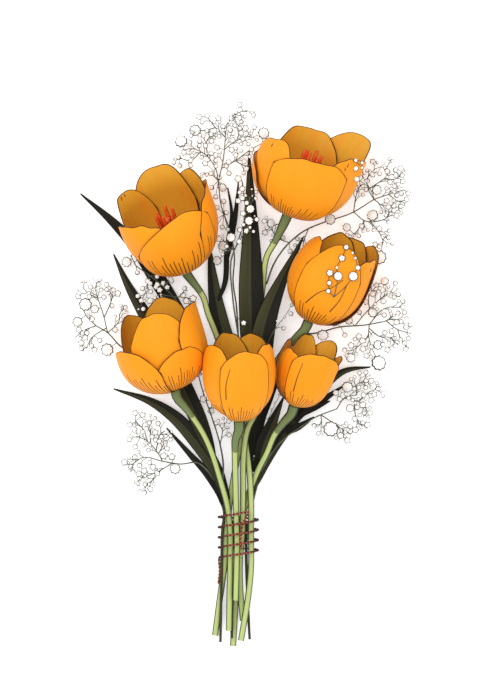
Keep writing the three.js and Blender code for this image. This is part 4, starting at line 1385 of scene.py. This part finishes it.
class TULIPS_OT_leaves(bpy.types.Operator):
    """Adds the long folded leaves, each with one half or both darkened by painted shade"""

    bl_idname = "tulips.leaves"
    bl_label = "Leaves"

    def execute(self, context):
        look = context.scene.tulip_bunch
        finishes = (
            leaf_finish("Leaf olive", tuple(look.leaf_olive), LEAF_OLIVE_VEIN),
            # The second finish is the leaf's colour darkened as painted shade.
            leaf_finish("Leaf dark", tuple(look.leaf_shade_colour), LEAF_SHADE_VEIN),
        )
        for i, (name, leaf) in enumerate(LEAVES.items()):
            parts = [self.blade(name, leaf, i * 5.7, LEAF_SHADED_HALF[name], finishes)]
            for j, (owner, width, route) in enumerate(SIDE_BLADES):
                if owner == name:
                    side = {"width": width, "fold": 0.25, "route": route}
                    parts.append(self.blade(name, side, j * 3.3, "both", finishes))
            parts += [self.stalk(name, route, finishes) for owner, route in LEAF_STALKS if owner == name]
            stand_for(joined(name + "_blade", parts), name)
        return {"FINISHED"}

    @staticmethod
    def stalk(name, route, finishes):
        """A leaf's round stalk, a little thinner towards its end."""

        def girth(share):
            return LEAF_STALK_RADIUS * (1.1 - 0.2 * share)

        stalk = tube_piece(name, Route(route), girth, 10, 40)
        store(stalk, "edge_mm", [LEAF_STALK_RADIUS] * len(stalk.data.vertices))
        paint(stalk, *finishes)
        smooth(stalk, 60)
        return stalk

    @staticmethod
    def blade(name, leaf, seed, dark, finishes):
        """One folded blade, with its half or halves darkened by painted shade."""
        piece = grid_piece(name, LEAF_ACROSS, LEAF_ALONG, leaf_surface(leaf, seed))
        mark_edge(piece, open_foot=False)
        paint(piece, *finishes)
        # Faces on the shaded half or halves take the painted-shade finish.
        for face in piece.data.polygons:
            half = "left" if middle_on_map(piece, face, 0) < 0.5 else "right"
            face.material_index = 1 if dark in (half, "both") else 0
        thicken(piece, LEAF_THICKNESS, inner=0, rim=0)
        smooth(piece)
        return piece


# ---- Baby's-breath ---------------------------------------------------------------------------

STALK_STEPS = 6  # of the solids' stalk, whose corners the branches start from
STALK_PLACES, BRANCH_PLACES, LAID_PLACES = 40, 16, 12  # steps along each line as it is drawn
STALK_RADIUS, BRANCH_RADIUS, TWIG_RADIUS, PEDICEL_RADIUS = 0.7, 0.42, 0.3, 0.22
CLEARANCE = 1.6  # from the other pieces' solids
LAID_HEIGHT = 1.3  # of a twig over the piece it lies on

SPROUT_GAP = 2.1  # between side twigs, at the mean
SPROUT_TURN = (32, 62)  # of a side twig from its branch, in degrees
SPROUT_LENGTH = (4.0, 8.5)
SPROUT_RISE = (-0.5, 2.0)  # over the spray's own height
BUD_WIDTHS = (2.8, 3.2, 3.6, 4.0, 4.6, 5.0, 5.4)
FORK_TURN = (40, 75)  # of a smaller twig from its side twig
FORK_LENGTH = (0.8, 1.3)  # as a share of what is left of the side twig
FORK_BUD_WIDTHS = (1.4, 1.8, 2.4, 2.8)

BIG_FLORET, SMALL_FLORET = 6.0, 4.3  # wider is a full floret, narrower a bud
FLORET_TIP = 24  # a floret tips by this many degrees at most
# [radius, height] from the top of the middle, over the rim, to the bottom of the middle.
FULL_ROWS = [
    (0, 0.42), (0.3, 0.36), (0.42, 0.24), (0.66, 0.3), (0.84, 0.15), (1.0, 0.0), (0.55, -0.16), (0, -0.4),
]
STAR_ROWS = [(0, 0.3), (0.35, 0.34), (0.8, 0.15), (1.0, 0.0), (0.4, -0.25), (0, -0.6)]
BUD_ROWS = [(0, 0.8), (0.5, 0.7), (0.78, 0.42), (1.0, 0.0), (0.7, -0.75), (0, -1.1)]
FULL_LOBES, STAR_LOBES = 9, 5

TWIG_SHADE = linear(92, 100, 74)


def billow_at(spray, x, y):
    """A spray's height over the surface at a place: a fixed, smooth rise and fall."""
    wave = math.sin(x / BILLOW_LENGTH + 1) + math.cos(y / BILLOW_LENGTH - x / (3 * BILLOW_LENGTH))
    return Vector((x, y, spray["level"] + spray["billow"] * wave / 2))


def with_thirds(points):
    """The points, with two more between each one and the next."""
    out = [points[0]]
    for a, b in zip(points, points[1:]):
        out += [a.lerp(b, 1 / 3), a.lerp(b, 2 / 3), b]
    return out


def nearest_of(points, place):
    """The point that is nearest to a place."""
    return min(points, key=lambda point: (point - place).length)


class Growth:
    """One spray as it grows: its twigs, its florets, and the room that the other solids leave."""

    def __init__(self, name, spray, seed):
        self.spray = spray
        self.random = random.Random(seed)
        self.others = tree_of([solid for node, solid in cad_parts.items() if node != name])
        stalk = Route(spray["stalk"])
        # (places, radius at the foot, radius at the tip) and (middle, width)
        self.twigs = [(stalk.places(STALK_PLACES), STALK_RADIUS, BRANCH_RADIUS)]
        self.florets = []
        self.joints = stalk.places_spaced(STALK_STEPS)[STALK_STEPS // 3:]  # where more can grow from
        self.branches = [self.branch(pairs(flat)) for flat in spray["branches"]]
        for x, y, width in spray["florets"] + SPRAY_DETAIL.get(name, []):
            self.hang(billow_at(spray, x, y), width)
        for sprig in LAID_SPRIGS:
            if sprig["of"] == name:
                self.lay(sprig)

    def branch(self, spots):
        """Adds a branch through these spots from the nearest joint, and returns its line."""
        points = [billow_at(self.spray, x, y) for x, y in spots]
        points[0] = nearest_of(self.joints, points[0]).copy()
        line = Route(points)
        self.twigs.append((line.places(BRANCH_PLACES), BRANCH_RADIUS, TWIG_RADIUS))
        self.joints += with_thirds(line.places_spaced(len(points) - 1))
        return line

    def clear(self, place, radius):
        """Whether a round floret has room here."""
        reach = (radius + CLEARANCE) * MM
        if self.others.find_nearest(in_frame(place), reach)[0] is not None or place.z < radius + 1:
            return False
        return all((place - other).length > (radius + width / 2) * 0.8 for other, width in self.florets)

    def hang(self, middle, width):
        """Adds a floret with its pedicel from the nearest twig."""
        joint = nearest_of(self.joints, middle)
        bow = joint.lerp(middle, 0.5) + Vector((0, 0, 0.08 * (middle - joint).length))
        self.twigs.append(([joint, bow, middle], PEDICEL_RADIUS * 1.2, PEDICEL_RADIUS))
        self.florets.append((middle, width))

    def lay(self, sprig):
        """Adds a sprig that lies on a solid: its twigs and florets rest on its upper side."""
        under, level = tree_of([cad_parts[sprig["on"]]]), self.spray["level"]
        for flat in sprig["twigs"]:
            line = Route([resting(under, x, y, LAID_HEIGHT, level) for x, y in pairs(flat)])
            self.twigs.append((line.places(LAID_PLACES), TWIG_RADIUS, PEDICEL_RADIUS))
        for x, y, width in sprig["florets"]:
            self.florets.append((resting(under, x, y, LAID_HEIGHT + width * 0.2, level), width))

    def sprout(self):
        """Adds side twigs with buds along the branches, by a seeded rule, where there is room."""
        for line in self.branches:
            share, side = 0.25, self.random.choice((-1, 1))
            while share < 1:
                foot = line.at(share)
                heading = line.heading(share)
                turn = side * math.radians(self.random.uniform(*SPROUT_TURN))
                length = self.random.uniform(*SPROUT_LENGTH)
                way = Matrix.Rotation(turn, 3, "Z") @ Vector((heading.x, heading.y, 0)).normalized()
                end = foot + way * length
                end.z = billow_at(self.spray, end.x, end.y).z + self.random.uniform(*SPROUT_RISE)
                width = self.random.choice(BUD_WIDTHS)
                if self.clear(end, width / 2) and self.in_view(end, width):
                    bow = way.cross(Vector((0, 0, 1))) * (0.12 * length * side)
                    bend = foot.lerp(end, 0.5) + Vector((0, 0, 0.6)) + bow
                    self.twigs.append(([foot, bend, end], TWIG_RADIUS, PEDICEL_RADIUS))
                    self.florets.append((end, width))
                    self.fork(bend, end, side)
                share += self.random.uniform(0.6, 1.4) * SPROUT_GAP / max(line.length, 1)
                side = -side

    def fork(self, bend, end, side):
        """Splits a side twig into a smaller one with a tiny bud."""
        turn = -side * math.radians(self.random.uniform(*FORK_TURN))
        way = Matrix.Rotation(turn, 3, "Z") @ (end - bend)
        tip = bend + way * self.random.uniform(*FORK_LENGTH)
        width = self.random.choice(FORK_BUD_WIDTHS)
        if self.clear(tip, width / 2) and self.in_view(tip, width):
            self.twigs.append(([bend, tip], PEDICEL_RADIUS, PEDICEL_RADIUS * 0.7))
            self.florets.append((tip, width))

    @staticmethod
    def in_view(place, width):
        """Whether the floret keeps inside the solids' own box."""
        spot, half = in_frame(place), width / 2 * MM
        return all(CAD_BOX[0][i] + half < spot[i] < CAD_BOX[1][i] - half for i in (0, 1))


def floret_shape(name, rows, lobes, depth, sides, dark_from, finishes):
    """A closed round floret of unit radius that faces up, with its lobes cut in by depth. The band
    from the row dark_from on is its dark margin, and past it is calyx."""

    def place(u, v):
        radius, height = rows[round(v * (len(rows) - 1))]
        turn = u * math.pi
        if lobes:
            radius *= 1 - depth * (1 - abs(math.cos(lobes * turn / 2)) ** 0.7) * min(radius * 1.6, 1)
        return Vector((radius * math.cos(turn), radius * math.sin(turn), height)) / MM - TO_ORIGIN

    shape = grid_piece(name, sides, len(rows) - 1, place, turn_over=True)
    paint(shape, *finishes)
    for face in shape.data.polygons:
        row = middle_on_map(shape, face, 1) * (len(rows) - 1)
        face.material_index = 0 if row < dark_from else 2 if row < dark_from + 1 else 1
    close_seams(shape)
    smooth(shape, 80)
    return shape


def floret_shapes(finishes):
    """The shapes that all florets are copies of: full, star and bud."""
    return (
        floret_shape("Full floret", FULL_ROWS, FULL_LOBES, 0.16, FULL_LOBES * 4, 4, finishes),
        floret_shape("Star floret", STAR_ROWS, STAR_LOBES, 0.3, STAR_LOBES * 4, 2, finishes),
        floret_shape("Bud", BUD_ROWS, 0, 0, 10, 2, finishes),
    )


class TULIPS_OT_sprays(bpy.types.Operator):
    """Adds the baby's-breath: thin branching twigs with florets and buds"""

    bl_idname = "tulips.sprays"
    bl_label = "Baby's-breath"

    def execute(self, context):
        look = context.scene.tulip_bunch
        finishes = (
            plain_finish("Floret", tuple(look.floret_colour), 0.7),
            plain_finish("Twig", tuple(look.twig_colour), 0.7, other=TWIG_SHADE, scale=200),
            plain_finish("Floret margin", tuple(look.floret_margin), 0.8),
        )
        shapes = floret_shapes(finishes)
        for seed, (name, spray) in enumerate(SPRAYS.items()):
            growth = Growth(name, spray, seed + 11)
            growth.sprout()
            parts = [self.twigs(name, growth.twigs)]
            paint(parts[0], *finishes)
            for face in parts[0].data.polygons:
                face.material_index = 1
            for middle, width in growth.florets:
                parts.append(self.floret(shapes, middle, width, growth.random))
            stand_for(joined(name + "_sprig", parts), name)
        for shape in shapes:
            bpy.data.objects.remove(shape)
        return {"FINISHED"}

    @staticmethod
    def twigs(name, lines):
        """All the twigs of a spray as one mesh, thinner towards their tips."""
        curve = bpy.data.curves.new(name, "CURVE")
        curve.dimensions = "3D"
        curve.bevel_depth = MM
        curve.bevel_resolution = 1
        curve.use_fill_caps = True
        for points, foot, tip in lines:
            spline = curve.splines.new("POLY")
            spline.points.add(len(points) - 1)
            for i, point in enumerate(points):
                spline.points[i].co = (*in_frame(point), 1)
                spline.points[i].radius = foot + (tip - foot) * i / (len(points) - 1)
        piece = bpy.data.objects.new(name, curve)
        bpy.context.scene.collection.objects.link(piece)
        choose(piece)
        bpy.ops.object.convert(target="MESH")
        return bpy.context.object

    @staticmethod
    def floret(shapes, middle, width, chance):
        """A copy of the fitting shape at its place, tipped a little at random."""
        full, star, bud = shapes
        shape = full if width > BIG_FLORET else star if width > SMALL_FLORET else bud
        piece = shape.copy()
        piece.data = shape.data.copy()
        bpy.context.scene.collection.objects.link(piece)
        towards = Matrix.Rotation(chance.uniform(0, 2 * math.pi), 4, "Z")
        tip = Matrix.Rotation(math.radians(chance.uniform(0, FLORET_TIP)), 4, "X")
        spin = Matrix.Rotation(chance.uniform(0, 2 * math.pi), 4, "Z")
        size = Matrix.Scale(width / 2 * MM, 4)
        piece.data.transform(Matrix.Translation(in_frame(middle)) @ towards @ tip @ spin @ size)
        return piece


# ---- The tie ---------------------------------------------------------------------------------

TIE_STRANDS = 2
TIE_LAY = 5.5  # length of one turn of the strands, in millimetres
TIE_ROWS_PER_LAY = 9
STRAND_SHARE = 0.56  # a strand's radius, as a share of the cord's

CORD_LIGHT = linear(186, 92, 70)
CORD_FURROW_SHADE = linear(66, 24, 20)


def tie_route():
    """The cord's own line: its lead, its turns round the stems and its tail."""
    x, z = TIE["centre"]
    points = list(TIE["lead"])
    for i in range(TIE["first"], TIE["turns"] * TIE["per_turn"] + TIE["last"] + 1):
        turn = 2 * math.pi * i / TIE["per_turn"]
        points.append([
            x + TIE["half_width"] * math.cos(turn),
            TIE["start"] - TIE["pitch"] * i / TIE["per_turn"] + TIE["slant"] * math.cos(turn),
            z + TIE["half_depth"] * math.sin(turn),
        ])
    return Route(points + TIE["tail"])


def cord_finish(look):
    """Twisted fibre, with painted shade in the furrows between the strands and down its sides."""
    material, tree, shader = finish("Cord", 0.85)
    fibre, = use(tree, streaks_group(), 9.0, 60.0)
    body = tree.mix(tree.ramp(fibre, 0.35, 0.7), tuple(look.cord_colour), CORD_LIGHT)
    # Painted shade where a strand dips into a furrow and where the cord faces aside.
    low = tree.ramp(tree.attribute("depth"), 0.4, 0.85, 1.0, 0.0)
    aside = tree.ramp(tree.attribute("slope"), 0.5, 0.72)
    tree.link(tree.mix(tree.math("MAXIMUM", low, aside), body, CORD_FURROW_SHADE), shader.inputs["Base Color"])
    tree.link(tree.bump(fibre, 0.5, 0.3), shader.inputs["Normal"])
    return material


class TULIPS_OT_tie(bpy.types.Operator):
    """Adds the two-strand cord that is wound round the stems"""

    bl_idname = "tulips.tie"
    bl_label = "Tie"

    def execute(self, context):
        look = context.scene.tulip_bunch
        route = tie_route()
        rows = round(route.length / TIE_LAY * TIE_ROWS_PER_LAY)
        frames = self.steady_frames(route, rows)
        cord = joined("tie_cord", [self.strand(frames, k / TIE_STRANDS) for k in range(TIE_STRANDS)])
        paint(cord, cord_finish(look))
        smooth(cord, 70)
        stand_for(cord, "tie")
        return {"FINISHED"}

    @staticmethod
    def steady_frames(route, rows):
        """Places along the cord, each with two directions across it that turn as little as they can."""
        frames, side = [], Vector((1, 0, 0))
        for row in range(rows + 1):
            t = route.spaced(row / rows)
            heading = route.heading(t)
            side = (side - heading * side.dot(heading)).normalized()
            frames.append((route.at(t), side, heading.cross(side)))
        return frames

    @staticmethod
    def strand(frames, lead):
        """One strand, which winds round the cord's middle and starts this share of a turn ahead. It
        stores how far out each point is, and how far it faces aside."""
        rows, radius = len(frames) - 1, TIE["radius"] * STRAND_SHARE

        def place(u, v):
            row, shut = round_row(v, rows)
            middle, side, up = frames[row]
            turn = 2 * math.pi * (row / TIE_ROWS_PER_LAY + lead)
            axis = middle + (side * math.cos(turn) + up * math.sin(turn)) * (TIE["radius"] - radius)
            size = 0 if shut else radius
            return axis + (side * math.cos(u * math.pi) + up * math.sin(u * math.pi)) * size

        piece = grid_piece("Strand", 8, rows + 2, place)
        close_seams(piece)
        middles = np.array([in_frame(middle) for middle, _, _ in frames])
        points = np.array([v.co for v in piece.data.vertices])
        out = np.array([p - middles[((middles - p) ** 2).sum(1).argmin()] for p in points])
        far = np.sqrt((out ** 2).sum(1))
        store(piece, "depth", np.clip(far / MM / (2 * radius), 0, 1))
        store(piece, "slope", np.hypot(out[:, 0], out[:, 1]) / far)
        return piece


# ---- The add-on ------------------------------------------------------------------------------


class TULIPS_PT_bunch(bpy.types.Panel):
    """Lists the bunch's operators and settings"""

    bl_idname = "TULIPS_PT_bunch"
    bl_label = "Bunch of Tulips"
    bl_space_type = "VIEW_3D"
    bl_region_type = "UI"
    bl_category = "Tulips"

    def draw(self, context):
        for operator in OPERATORS:
            self.layout.operator(operator.bl_idname)
        for setting in TulipBunch.__annotations__:
            self.layout.prop(context.scene.tulip_bunch, setting)


OPERATORS = (
    TULIPS_OT_stage, TULIPS_OT_blooms, TULIPS_OT_stamens, TULIPS_OT_stems, TULIPS_OT_leaves,
    TULIPS_OT_sprays, TULIPS_OT_tie,
)
CLASSES = (TulipBunch, *OPERATORS, TULIPS_PT_bunch)


def register():
    for cls in CLASSES:
        bpy.utils.register_class(cls)
    bpy.types.Scene.tulip_bunch = bpy.props.PointerProperty(type=TulipBunch)


def unregister():
    del bpy.types.Scene.tulip_bunch
    for cls in reversed(CLASSES):
        bpy.utils.unregister_class(cls)


def main():
    """Makes every piece."""
    register()
    for operator in OPERATORS:
        area, name = operator.bl_idname.split(".")
        getattr(getattr(bpy.ops, area), name)()


if __name__ == "__main__":
    main()
